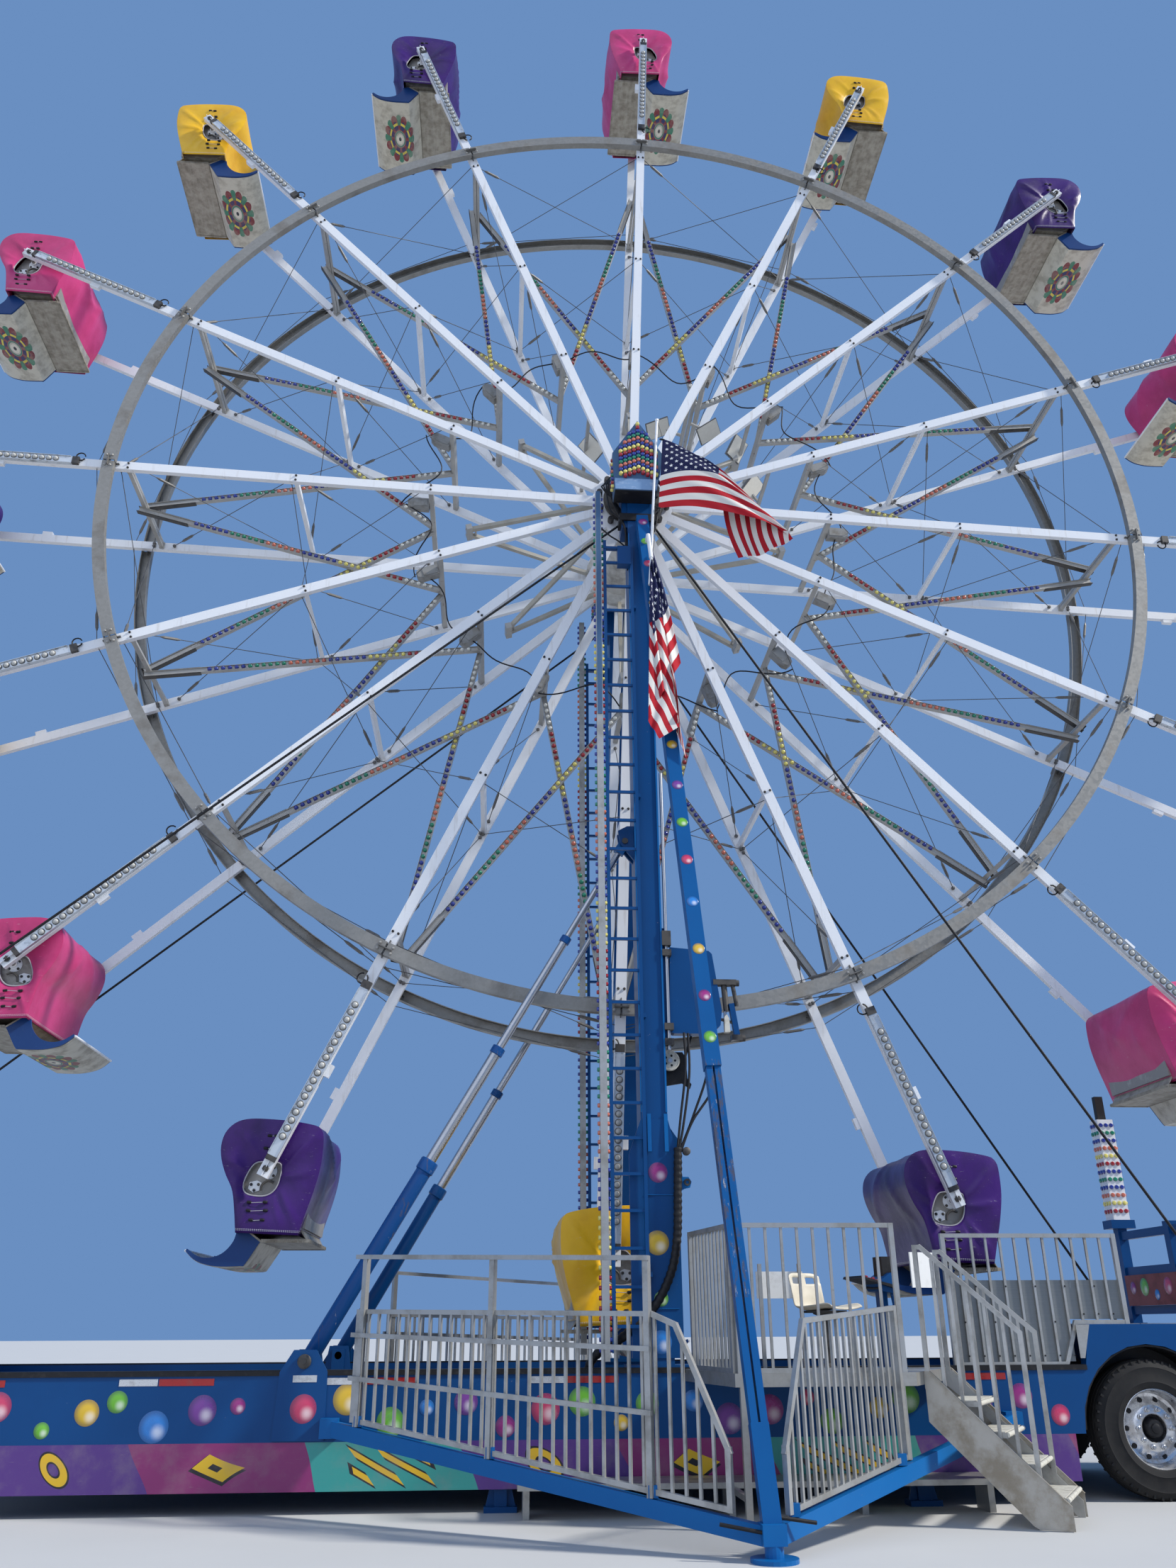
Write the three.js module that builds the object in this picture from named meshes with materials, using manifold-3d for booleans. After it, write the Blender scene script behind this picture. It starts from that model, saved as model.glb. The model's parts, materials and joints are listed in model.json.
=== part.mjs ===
// A sixteen-seat travelling ferris wheel, standing set up on its semi-trailer.
// Millimetres, +Z up, X along the trailer, -Y is the boarding side.
// The origin is on the ground under the hub, half way between the two masts.
import * as THREE from 'three';
import { mergeVertices } from 'three/addons/utils/BufferGeometryUtils.js';
import Module from 'manifold-3d';

const wasm = await Module();
wasm.setup();

// Driving dimensions of the wheel
const HUB_Z = 10100;
const RIM_R = 6000;
const SEAT_R = 8234;
const SEATS = 16;
const REST_ANGLE = THREE.MathUtils.degToRad(2.232);
const STEP = 2 * Math.PI / SEATS;
const GAP = 0.3;

// The two spoke stars lie at +-STAR_Y, and the rims are bolted to their outer faces
const STAR_Y = 780;
const SPOKE_WIDE = 104;
const SPOKE_THICK = 60;
const STAR_IN = STAR_Y - SPOKE_THICK / 2;
const STAR_OUT = STAR_Y + SPOKE_THICK / 2;
const HUB_PLATE_R = 470;
const TIP_R = SEAT_R + 70;
const RIM_HIGH = 130;
const RIM_DEEP = 80;
const RIM_SKIN = 10;
const RIM_FACETS = 48;

// Spreaders between the stars, by radius
const OUTER_SPREADER_R = 5800;
const MID_SPREADER_R = 3900;
const INNER_SPREADER_R = 2350;
const STRIP_WIDE = 60;
const STRIP_DEEP = 44;
const STRIP_OFFSET = 52;
const STRIP_Y = 45;
const PAIR_OFFSET = 21;
const PAIR_PLATE = 30;

// Tower
const MAST_IN = 990;
const MAST_OUT = 1290;
const MAST_WIDE = 240;
const MAST_TOP = 9880;
const HEAD_HALF = MAST_WIDE / 2 + 60;
const AXLE_R = 90;
const AXLE_SIDES = 32;
const BORE_R = (AXLE_R + 0.3) / Math.cos(Math.PI / AXLE_SIDES);

// Trailer
const SIDE_Y = 1300;
const BEAM_THICK = 100;
const BEAM_LOW = 500;
const DECK_Z = 1000;
const SKIRT_LOW = 160;
const FRONT_X = -8880;
const NECK_X = -6300;
const SKIRT_X = -5600;
const REAR_X = 6400;
const ARCH_X = 3600;
const END_DECK_Z = 1320;

const colour = {
  white: 0xe9ebec,
  zinc: 0x8f8d86,
  dark: 0x2a2d33,
  blue: 0x0b4ea2,
  deepBlue: 0x083f8a,
  aluminium: 0xb9bcbd,
  chrome: 0xb8bec4,
  black: 0x15161a,
  cream: 0xe8dfc8,
  skirt: 0x5b2a78,
  pink: 0xd8437f,
  yellow: 0xf0b81c,
  purple: 0x2f1a63,
  cloth: 0xb8283a,
};

const material = (name, roughness = 0.5, metalness = 0) =>
  new THREE.MeshStandardMaterial({ color: colour[name], roughness, metalness });

const model = new THREE.Group();
const wheel = new THREE.Group();
wheel.position.set(0, 0, HUB_Z);
wheel.rotation.y = REST_ANGLE;
model.add(wheel);

function add(parent, name, geometry, look) {
  const mesh = new THREE.Mesh(geometry, look);
  mesh.name = name;
  parent.add(mesh);
  return mesh;
}

const vec = (x, y, z) => new THREE.Vector3(x, y, z);

// Boolean helpers: a closed geometry becomes a solid, and a solid a geometry again
function toSolid(geometry) {
  const bare = geometry.index ? geometry.toNonIndexed() : geometry.clone();
  for (const key of Object.keys(bare.attributes)) {
    if (key !== 'position') bare.deleteAttribute(key);
  }
  const merged = mergeVertices(bare, 1e-3);
  const mesh = new wasm.Mesh({
    numProp: 3,
    vertProperties: new Float32Array(merged.attributes.position.array),
    triVerts: new Uint32Array(merged.index.array),
  });
  return new wasm.Manifold(mesh);
}

function toGeometry(solid) {
  const mesh = solid.getMesh();
  const geometry = new THREE.BufferGeometry();
  geometry.setAttribute('position', new THREE.BufferAttribute(new Float32Array(mesh.vertProperties), 3));
  geometry.setIndex(new THREE.BufferAttribute(new Uint32Array(mesh.triVerts), 1));
  geometry.computeVertexNormals();
  return geometry;
}

const join = (pieces) => pieces.map(toSolid).reduce((sum, solid) => sum.add(solid));
const fuse = (...pieces) => toGeometry(join(pieces.flat()));
const cut = (body, ...tools) => toGeometry(join([body].flat()).subtract(join(tools.flat())));

// A block between two corners
function block(x0, x1, y0, y1, z0, z1) {
  const box = new THREE.BoxGeometry(x1 - x0, y1 - y0, z1 - z0);
  box.translate((x0 + x1) / 2, (y0 + y1) / 2, (z0 + z1) / 2);
  return box;
}

// A straight bar from a to b: wide across `side`, deep across the third direction
function bar(a, b, wide, deep, side = vec(0, 1, 0)) {
  const along = b.clone().sub(a);
  const length = along.length();
  along.normalize();
  const third = along.clone().cross(side).normalize();
  const across = third.clone().cross(along).normalize();
  const box = new THREE.BoxGeometry(length, wide, deep);
  box.applyMatrix4(new THREE.Matrix4().makeBasis(along, across, third));
  box.translate((a.x + b.x) / 2, (a.y + b.y) / 2, (a.z + b.z) / 2);
  return box;
}

// A round bar from a to b
function rod(a, b, radius, sides = 12, endRadius = radius) {
  const along = b.clone().sub(a);
  const round = new THREE.CylinderGeometry(endRadius, radius, along.length(), sides);
  round.applyQuaternion(new THREE.Quaternion().setFromUnitVectors(vec(0, 1, 0), along.clone().normalize()));
  round.translate((a.x + b.x) / 2, (a.y + b.y) / 2, (a.z + b.z) / 2);
  return round;
}

// A plate in the XZ plane, drawn as points [x, z], from y0 to y1
function plateXZ(points, y0, y1) {
  const shape = new THREE.Shape(points.map(([x, z]) => new THREE.Vector2(x, z)));
  const slab = new THREE.ExtrudeGeometry(shape, { depth: y1 - y0, bevelEnabled: false });
  slab.rotateX(Math.PI / 2);
  slab.translate(0, y1, 0);
  return slab;
}

// A plate lying flat, drawn as points [x, y], from z0 to z1
function plateXY(points, z0, z1) {
  const shape = new THREE.Shape(points.map(([x, y]) => new THREE.Vector2(x, y)));
  const slab = new THREE.ExtrudeGeometry(shape, { depth: z1 - z0, bevelEnabled: false });
  slab.translate(0, 0, z0);
  return slab;
}

// The same solid on the far side
function mirrorY(geometry) {
  const copy = geometry.clone();
  copy.scale(1, -1, 1);
  const index = copy.index.array;
  for (let i = 0; i < index.length; i += 3) {
    [index[i + 1], index[i + 2]] = [index[i + 2], index[i + 1]];
  }
  copy.computeVertexNormals();
  return copy;
}

// A point on the wheel, by radius and angle clockwise from spoke 0
const onWheel = (radius, angle, y) => vec(radius * Math.sin(angle), y, radius * Math.cos(angle));
const spokeAngle = (k) => k * STEP;

// Wheel: stars, rims, light frame and hub
function star(side) {
  const pieces = [rod(vec(0, side * STAR_IN, 0), vec(0, side * STAR_OUT, 0), HUB_PLATE_R, 32)];
  for (let k = 0; k < SEATS; k += 1) {
    const angle = spokeAngle(k);
    pieces.push(bar(onWheel(HUB_PLATE_R - 60, angle, side * STAR_Y), onWheel(TIP_R, angle, side * STAR_Y),
      SPOKE_THICK, SPOKE_WIDE));
  }
  return pieces;
}

// A bar that crosses from the near star to the far one
const spreader = (radius, angle, wide, deep) =>
  bar(onWheel(radius, angle, -STAR_IN + GAP), onWheel(radius, angle, STAR_IN - GAP), wide, deep, onWheel(1, angle, 0));

function midSpreaders() {
  const bars = [];
  for (let k = 0; k < SEATS; k += 1) {
    const angle = spokeAngle(k);
    bars.push(bar(onWheel(MID_SPREADER_R, angle, -STAR_IN - 10), onWheel(MID_SPREADER_R, angle, STAR_IN - GAP),
      50, 50, onWheel(1, angle, 0)));
  }
  return bars;
}

function rimChannel(side) {
  const inner = RIM_R - RIM_HIGH / 2;
  const outer = RIM_R + RIM_HIGH / 2;
  const face = STAR_OUT + GAP;
  const profile = [
    [inner, face], [outer, face], [outer, face + RIM_DEEP], [outer - RIM_SKIN, face + RIM_DEEP],
    [outer - RIM_SKIN, face + RIM_SKIN], [inner + RIM_SKIN, face + RIM_SKIN],
    [inner + RIM_SKIN, face + RIM_DEEP], [inner, face + RIM_DEEP], [inner, face],
  ];
  const points = profile.map(([r, y]) => new THREE.Vector2(r, y));
  const ring = new THREE.LatheGeometry(points, RIM_FACETS);
  ring.rotateY(Math.PI / RIM_FACETS);
  return side > 0 ? toGeometry(toSolid(ring)) : mirrorY(toGeometry(toSolid(ring)));
}

// Light frame: strips zigzag round the wheel between the paired outer spreader of one spoke and the single inner
// spreader of the next, so the even spokes carry one closed ring of strips and the odd spokes the other
function lightFrame(firstSpoke) {
  const bars = [];
  for (let k = firstSpoke; k < SEATS; k += 2) {
    const angle = spokeAngle(k);
    bars.push(spreader(INNER_SPREADER_R, spokeAngle(k + 1), 56, 56));
    for (const side of [-1, 1]) {
      bars.push(bar(onWheel(OUTER_SPREADER_R, angle, side * (STAR_IN - PAIR_PLATE)),
        onWheel(OUTER_SPREADER_R, angle, side * (STAR_IN - GAP)), 60, 84, onWheel(1, angle, 0)));
    }
    for (const turn of [-1, 1]) {
      bars.push(spreader(OUTER_SPREADER_R, angle + turn * PAIR_OFFSET / OUTER_SPREADER_R, 46, 34));
      const start = onWheel(OUTER_SPREADER_R + 60, angle + turn * STRIP_OFFSET / OUTER_SPREADER_R, turn * STRIP_Y);
      const end = onWheel(INNER_SPREADER_R + 10, angle + turn * STEP, turn * STRIP_Y);
      bars.push(bar(start, end, STRIP_DEEP, STRIP_WIDE));
    }
  }
  return fuse(bars);
}

function hub() {
  return fuse(
    rod(vec(0, -STAR_IN + GAP, 0), vec(0, STAR_IN - GAP, 0), 300, 20),
    rod(vec(0, -STAR_IN + GAP, 0), vec(0, -STAR_IN + 60, 0), 440, 24),
    rod(vec(0, STAR_IN - 60, 0), vec(0, STAR_IN - GAP, 0), 440, 24),
    rod(vec(0, -MAST_IN + GAP, 0), vec(0, MAST_IN - GAP, 0), AXLE_R, AXLE_SIDES),
  );
}

const white = material('white', 0.4);
const zinc = material('zinc', 0.55, 0.6);
const starAxleHole = (side) => rod(vec(0, side * (STAR_IN - 20), 0), vec(0, side * (STAR_OUT + 20), 0), AXLE_R + 5, 20);

add(wheel, 'near_spokes', cut([...star(-1), ...midSpreaders()], starAxleHole(-1)), white);
add(wheel, 'far_spokes', cut(star(1), starAxleHole(1)), white);
add(wheel, 'near_rim', rimChannel(-1), zinc);
add(wheel, 'far_rim', rimChannel(1), zinc);
add(wheel, 'even_light_frame', lightFrame(0), zinc);
add(wheel, 'odd_light_frame', lightFrame(1), zinc);
add(wheel, 'hub', hub(), material('dark', 0.6));

// Seats: profile points [forward, up] from the pivot
const SEAT_HALF = 690;
const PAN_HALF = 600;
const BOARD_HALF = 570;
const coverProfile = [
  [-450, 370], [-470, 60], [-330, -540], [220, -505], [300, -160], [400, 40], [440, 190], [410, 330], [320, 430],
  [200, 460], [-200, 440],
];
const panProfile = [[-400, -600], [20, -600], [180, -505], [-330, -505]];
const boardProfile = [
  [0, -560], [0, -600], [125, -800], [380, -805], [550, -770], [655, -680], [635, -665], [530, -735], [380, -765],
  [160, -765], [150, -600], [230, -500], [160, -480],
];
const seatColours = [
  'pink', 'yellow', 'purple', 'pink', 'yellow', 'purple', 'pink', 'purple',
  'yellow', 'purple', 'pink', 'yellow', 'purple', 'pink', 'yellow', 'purple',
];

function seat(facing) {
  const turned = (points) => {
    const side = points.map(([u, v]) => [facing * u, v]);
    return facing > 0 ? side : side.reverse();
  };
  return fuse(
    plateXZ(turned(coverProfile), -SEAT_HALF, SEAT_HALF),
    plateXZ(turned(panProfile), -PAN_HALF, PAN_HALF),
    plateXZ(turned(boardProfile), -BOARD_HALF, BOARD_HALF),
    rod(vec(0, -STAR_IN + GAP, 0), vec(0, STAR_IN - GAP, 0), 24, 8),
  );
}

const seatShapes = { left: seat(-1), right: seat(1) };
for (let k = 0; k < SEATS; k += 1) {
  const angle = REST_ANGLE + spokeAngle(k);
  const shape = k % 2 === 1 ? seatShapes.left : seatShapes.right;
  const name = `seat_${String(k + 1).padStart(2, '0')}`;
  const one = add(model, name, shape, material(seatColours[k], 0.35));
  one.position.set(SEAT_R * Math.sin(angle), 0, HUB_Z + SEAT_R * Math.cos(angle));
}

// Tower. Each near piece is drawn at -Y and mirrored for the far side.
const blue = material('blue', 0.4);
const deepBlue = material('deepBlue', 0.4);

function mast() {
  const half = MAST_WIDE / 2;
  const pieces = [
    block(-half, half, -MAST_OUT, -MAST_IN, DECK_Z + GAP, MAST_TOP),
    plateXZ([[-HEAD_HALF, 9400], [HEAD_HALF, 9400], [HEAD_HALF, 10240], [0, 10560], [-HEAD_HALF, 10240]],
      -MAST_OUT + 20, -MAST_IN),
    plateXZ([[-half - 110, 1080], [half + 80, 1080], [half + 80, 2700], [half, 3000], [-half, 3000],
      [-half - 110, 2700]], -MAST_OUT - 9, -MAST_OUT + 20),
    plateXZ([[half - 10, 2500], [half + 120, 2560], [half + 130, 2800], [half - 10, 3000]], -1200, -1160),
    [[-1195, -1165], [-1075, -1045]].map(([y0, y1]) =>
      plateXZ([[-half + 10, 5480], [-half - 130, 5660], [-half - 150, 5800], [-half - 60, 5850], [-half + 10, 5850]],
        y0, y1)),
    block(-half - 150, half + 150, -MAST_OUT, -MAST_IN + 20, DECK_Z + GAP, DECK_Z + 30),
  ];
  pieces.push(rod(vec(0, -MAST_IN - 20, HUB_Z), vec(0, -STAR_OUT - RIM_SKIN, HUB_Z), 210, 24));
  return cut(pieces.flat(), rod(vec(0, -MAST_IN, HUB_Z), vec(0, -STAR_OUT, HUB_Z), BORE_R, AXLE_SIDES));
}
add(model, 'near_mast', mast(), blue);
add(model, 'far_mast', mirrorY(mast()), blue);

const LADDER_Y = 1345;
const LADDER_LEFT = -385;
const LADDER_RIGHT = -95;
const RUNG_PITCH = 302;
function ladder() {
  const pieces = [];
  const low = 1120;
  const high = 9150;
  for (const x of [LADDER_LEFT, LADDER_RIGHT]) {
    pieces.push(block(x - 16, x + 16, -LADDER_Y - 20, -LADDER_Y + 20, low, high));
  }
  for (let z = low + 200; z < high; z += RUNG_PITCH) {
    pieces.push(block(LADDER_LEFT, LADDER_RIGHT, -LADDER_Y - 13, -LADDER_Y + 13, z - 13, z + 13));
  }
  for (const [z, face] of [[1700, MAST_OUT + 9], [3900, MAST_OUT], [6100, MAST_OUT], [8300, MAST_OUT]]) {
    pieces.push(block(LADDER_RIGHT + 10, LADDER_RIGHT + 40, -LADDER_Y - 10, -face - GAP, z, z + 40));
  }
  return fuse(pieces);
}
add(model, 'near_ladder', ladder(), blue);
add(model, 'far_ladder', mirrorY(ladder()), blue);

const COLUMN_X = -455;
function lightColumn() {
  return fuse(
    block(COLUMN_X - 32, COLUMN_X + 32, -1390, -1310, 1060, 9760),
    [1500, 4200, 6900, 9000].map((z) => block(COLUMN_X + 20, LADDER_LEFT - 16 - GAP, -1360, -1330, z, z + 50)),
  );
}
const aluminium = material('aluminium', 0.4, 0.8);
add(model, 'near_light_column', lightColumn(), aluminium);
add(model, 'far_light_column', mirrorY(lightColumn()), aluminium);

function headPanel() {
  const outline = [[-280, 9720], [190, 9720], [270, 10220], [-10, 10690], [-300, 10220]];
  return toGeometry(toSolid(plateXZ(outline, -1520, -MAST_OUT - GAP)));
}
add(model, 'near_head_panel', headPanel(), deepBlue);
add(model, 'far_head_panel', mirrorY(headPanel()), deepBlue);

// Bracing strut from the mast head to the outrigger foot
const STRUT_TOP = vec(20, -1425, 9400);
const STRUT_FOOT = vec(375, -3600, 190);
const strutAt = (t) => STRUT_TOP.clone().lerp(STRUT_FOOT, t);
const STRUT_SEAT = 205;
function strut() {
  const side = vec(1, 0, 0);
  const aside = (point, x) => point.clone().add(vec(x, 0, 0));
  const pieces = [
    bar(strutAt(0), strutAt(0.68), 125, 125, side),
    bar(aside(strutAt(0.66), -32), aside(strutAt(0.955), -32), 48, 90, side),
    bar(aside(strutAt(0.66), 32), aside(strutAt(0.955), 32), 48, 90, side),
    bar(strutAt(0.94), strutAt(1.02), 120, 90, side),
    block(-30, 70, -1440, -MAST_OUT - GAP, 9330, 9440),
  ];
  return cut(pieces, block(200, 600, -4000, -3200, -100, STRUT_SEAT + GAP));
}
add(model, 'near_strut', strut(), blue);
add(model, 'far_strut', mirrorY(strut()), blue);

// Telescopic lift cylinder from the side beam to the mast
const LIFT_PIN = vec(-2890, -1120, 1075);
const LIFT_EYE = vec(-205, -1120, 5690);
const liftAt = (t) => LIFT_PIN.clone().lerp(LIFT_EYE, t);
function lift() {
  return fuse(
    rod(liftAt(0.006), liftAt(0.335), 98, 16),
    rod(liftAt(0.33), liftAt(0.555), 70, 12),
    rod(liftAt(0.55), liftAt(0.785), 55, 12),
    rod(liftAt(0.78), liftAt(0.996), 40, 10),
    rod(liftAt(0.32), liftAt(0.336), 112, 16),
    rod(liftAt(0.545), liftAt(0.562), 84, 12),
    rod(liftAt(0.776), liftAt(0.79), 68, 12),
    rod(vec(-2890, -1270 + GAP, 1075), vec(-2890, -1015 - GAP, 1075), 60, 12),
    rod(vec(-205, -1165 + GAP, 5690), vec(-205, -1075 - GAP, 5690), 45, 12),
  );
}
const chrome = material('chrome', 0.2, 1);
add(model, 'near_lift_cylinder', lift(), chrome);
add(model, 'far_lift_cylinder', mirrorY(lift()), chrome);

// Rope drive beside the near mast
function driveUnit() {
  const faceX = MAST_WIDE / 2 + GAP;
  return fuse(
    block(faceX, 175, -1260, -1080, 3700, 4780),
    block(170, 530, -1240, -1130, 3780, 4600),
    rod(vec(205, -975, 3500), vec(205, -945, 3500), 150, 24),
    rod(vec(205, -1120, 3500), vec(205, -960, 3500), 30, 12),
    block(140, 270, -1200, -1100, 3420, 3790),
    rod(vec(160, -1190, 3700), vec(160, -1190, 5100), 34, 12),
    rod(vec(600, -1200, 3760), vec(600, -1200, 4360), 40, 12),
    block(520, 640, -1230, -1170, 4300, 4360),
    block(520, 640, -1230, -1170, 3760, 3820),
  );
}
add(model, 'drive_unit', driveUnit(), deepBlue);

// Flag pole on the near head panel, with two flags
const FLAG_Y = -1560;
const POLE_R = 16;
const POLE_LOW = vec(150, FLAG_Y, 8560);
const POLE_HIGH = vec(300, FLAG_Y, 10640);
function flagPole() {
  return fuse(
    rod(POLE_LOW, POLE_HIGH, POLE_R, 12),
    block(190, 250, FLAG_Y - 12, -1520 - GAP, 9760, 9800),
    block(236, 272, FLAG_Y - 12, -1520 - GAP, 10180, 10210),
  );
}
add(model, 'flag_pole', flagPole(), white);

// A flag hangs from the pole as a rippled sheet: ripples run along its length
function flag(name, hoistTop, hoistLow, fly, sag, ripple) {
  const columns = 10;
  const rows = 3;
  const thick = 4;
  const points = [];
  for (const face of [-1, 1]) {
    for (let j = 0; j <= rows; j += 1) {
      for (let i = 0; i <= columns; i += 1) {
        const s = i / columns;
        const hoist = hoistTop.clone().lerp(hoistLow, j / rows);
        const point = hoist.add(fly.clone().multiplyScalar(s));
        point.z -= sag * s * s;
        point.y += ripple * s * Math.sin(s * 9 + j * 0.4) + face * thick / 2;
        points.push(point.x, point.y, point.z);
      }
    }
  }
  const triangles = [];
  const at = (face, j, i) => face * (rows + 1) * (columns + 1) + j * (columns + 1) + i;
  const quad = (a, b, c, d) => triangles.push(a, b, c, a, c, d);
  for (let j = 0; j < rows; j += 1) {
    for (let i = 0; i < columns; i += 1) {
      quad(at(0, j, i), at(0, j + 1, i), at(0, j + 1, i + 1), at(0, j, i + 1));
      quad(at(1, j, i), at(1, j, i + 1), at(1, j + 1, i + 1), at(1, j + 1, i));
    }
    quad(at(0, j, 0), at(1, j, 0), at(1, j + 1, 0), at(0, j + 1, 0));
    quad(at(0, j, columns), at(0, j + 1, columns), at(1, j + 1, columns), at(1, j, columns));
  }
  for (let i = 0; i < columns; i += 1) {
    quad(at(0, 0, i), at(0, 0, i + 1), at(1, 0, i + 1), at(1, 0, i));
    quad(at(0, rows, i), at(1, rows, i), at(1, rows, i + 1), at(0, rows, i + 1));
  }
  const sheet = new THREE.BufferGeometry();
  sheet.setAttribute('position', new THREE.Float32BufferAttribute(points, 3));
  sheet.setIndex(triangles);
  sheet.computeVertexNormals();
  add(model, name, sheet, material('cloth', 0.8));
}
const poleAt = (z) => POLE_LOW.clone().lerp(POLE_HIGH, (z - POLE_LOW.z) / (POLE_HIGH.z - POLE_LOW.z));
const besidePole = (z) => poleAt(z).add(vec(POLE_R + GAP, 0, 0));
flag('upper_flag', besidePole(10500), besidePole(9560), vec(1300, 0, -120), 500, 60);
flag('lower_flag', besidePole(9250), besidePole(8620), vec(330, 0, -700), 400, 60);

// Guy cables: an inverted V from the mast head to both ends of the trailer
const GUY_Y = -1140;
const GUY_R = 13;
const GUY_Z = 9520;
const GUY_LEFT = vec(-8730, GUY_Y, 2065);
const GUY_RIGHT = vec(5120, GUY_Y, END_DECK_Z + 24);
function guys() {
  const face = HEAD_HALF + GAP;
  return fuse(
    block(-face - 30, face + 30, -MAST_OUT - 20, -MAST_OUT - GAP, GUY_Z - 45, GUY_Z + 45),
    [-1, 1].map((s) => block(s > 0 ? face : -face - 30, s > 0 ? face + 30 : -face, -MAST_OUT - 10, GUY_Y + 40,
      GUY_Z - 45, GUY_Z + 45)),
    rod(vec(-face - 15, GUY_Y, GUY_Z), GUY_LEFT, GUY_R, 8),
    rod(vec(face + 15, GUY_Y, GUY_Z), GUY_RIGHT, GUY_R, 8),
    block(GUY_RIGHT.x - 60, GUY_RIGHT.x + 50, GUY_Y - 40, GUY_Y + 40, END_DECK_Z + GAP, END_DECK_Z + 40),
    block(GUY_LEFT.x - 50, GUY_LEFT.x + 50, GUY_Y - 40, GUY_Y + 40, 2030 + GAP, 2090),
  );
}
add(model, 'near_guys', guys(), material('black', 0.6));
add(model, 'far_guys', mirrorY(guys()), material('black', 0.6));

// Trailer chassis: two side beams, cross members, floor, ends, wheel arches and support legs
const ARCH_R = 640;
const AXLES_X = [4150, 5400];
const AXLE_Z = 525;
const WELL_X = 3480;
function sideBeam() {
  const outline = [
    [FRONT_X, 950], [NECK_X - 60, 950], [NECK_X + 400, BEAM_LOW], [ARCH_X + 200, BEAM_LOW], [ARCH_X + 200, 420],
    [REAR_X, 420], [REAR_X, END_DECK_Z], [ARCH_X + 60, END_DECK_Z], [ARCH_X, DECK_Z], [NECK_X, DECK_Z],
    [NECK_X, END_DECK_Z], [FRONT_X, END_DECK_Z],
  ];
  const beyond = [-SIDE_Y - 20, -SIDE_Y + BEAM_THICK + 20];
  const wells = AXLES_X.map((x) => rod(vec(x, beyond[0], AXLE_Z), vec(x, beyond[1], AXLE_Z), ARCH_R, 24));
  const between = block(AXLES_X[0] - ARCH_R, AXLES_X[1] + ARCH_R, beyond[0], beyond[1], 300, AXLE_Z);
  return cut(plateXZ(outline, -SIDE_Y, -SIDE_Y + BEAM_THICK), ...wells, between);
}
function chassis() {
  const near = [sideBeam()];
  const legs = [-5400, -1290, 2110].map((x) => [
    block(x - 50, x + 50, -1265, -1175, 40, BEAM_LOW + 50),
    block(x - 130, x + 130, -1310, -1130, 0, 40),
    plateXZ([[x - 120, 30], [x + 120, 30], [x + 45, 330], [x - 45, 330]], -1230, -1210),
  ]).flat();
  const nearSide = [...near, ...legs].map((piece) => toGeometry(toSolid(piece)));
  const inner = SIDE_Y - BEAM_THICK + 10;
  const cross = [-5800, -4300, -2950, -1600, -250, 1300, 2500, 3340].map((x) =>
    block(x, x + 120, -inner, inner, BEAM_LOW + 60, BEAM_LOW + 200));
  return fuse(
    nearSide,
    nearSide.map(mirrorY),
    cross,
    block(NECK_X + 40, WELL_X, -inner, inner, BEAM_LOW + 190, BEAM_LOW + 210),
    block(NECK_X, NECK_X + 60, -inner, inner, BEAM_LOW + 190, END_DECK_Z),
    block(FRONT_X, NECK_X + 60, -inner, inner, END_DECK_Z - 40, END_DECK_Z),
    block(WELL_X - 40, REAR_X, -inner, inner, END_DECK_Z - 40, END_DECK_Z),
    block(WELL_X - 40, WELL_X, -inner, inner, BEAM_LOW + 190, END_DECK_Z),
    [-1, 1].map((s) => block(-300, 300, s * 1095 - 115, s * 1095 + 115, BEAM_LOW + 190, DECK_Z)),
    block(REAR_X - 60, REAR_X, -inner, inner, 760, END_DECK_Z),
    block(FRONT_X, FRONT_X + 60, -inner, inner, 950, END_DECK_Z),
    rod(vec(FRONT_X + 1000, 0, 880), vec(FRONT_X + 1000, 0, END_DECK_Z - 20), 90, 12),
    block(FRONT_X + 500, FRONT_X + 1500, -560, 560, 950, 990),
    [-1, 1].map((s) => block(FRONT_X + 520, FRONT_X + 1480, s * 500 - 30, s * 500 + 30, 980, END_DECK_Z - 20)),
    [-1, 1].map((s) => block(4700, 4820, s * 560 - 60, s * 560 + 60, 700, END_DECK_Z - 20)),
    [-1, 1].map((s) => block(4000, 5600, s * 560 - 50, s * 560 + 50, 640, 760)),
    [-1, 1].map((s) => block(-2990, -2790, s * (SIDE_Y - 15) - 15, s * (SIDE_Y - 15) + 15, 950, 1150)),
    [-1, 1].map((s) => block(-2950, -2830, s * 1000 - 15, s * 1000 + 15, BEAM_LOW + 150, 1130)),
  );
}
add(model, 'chassis', chassis(), blue);

function skirt() {
  return toGeometry(toSolid(
    block(SKIRT_X, 3420, -SIDE_Y, -SIDE_Y + 30, SKIRT_LOW, BEAM_LOW - GAP),
  ));
}
add(model, 'near_skirt', skirt(), material('skirt', 0.5));
add(model, 'far_skirt', mirrorY(skirt()), material('skirt', 0.5));

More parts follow.
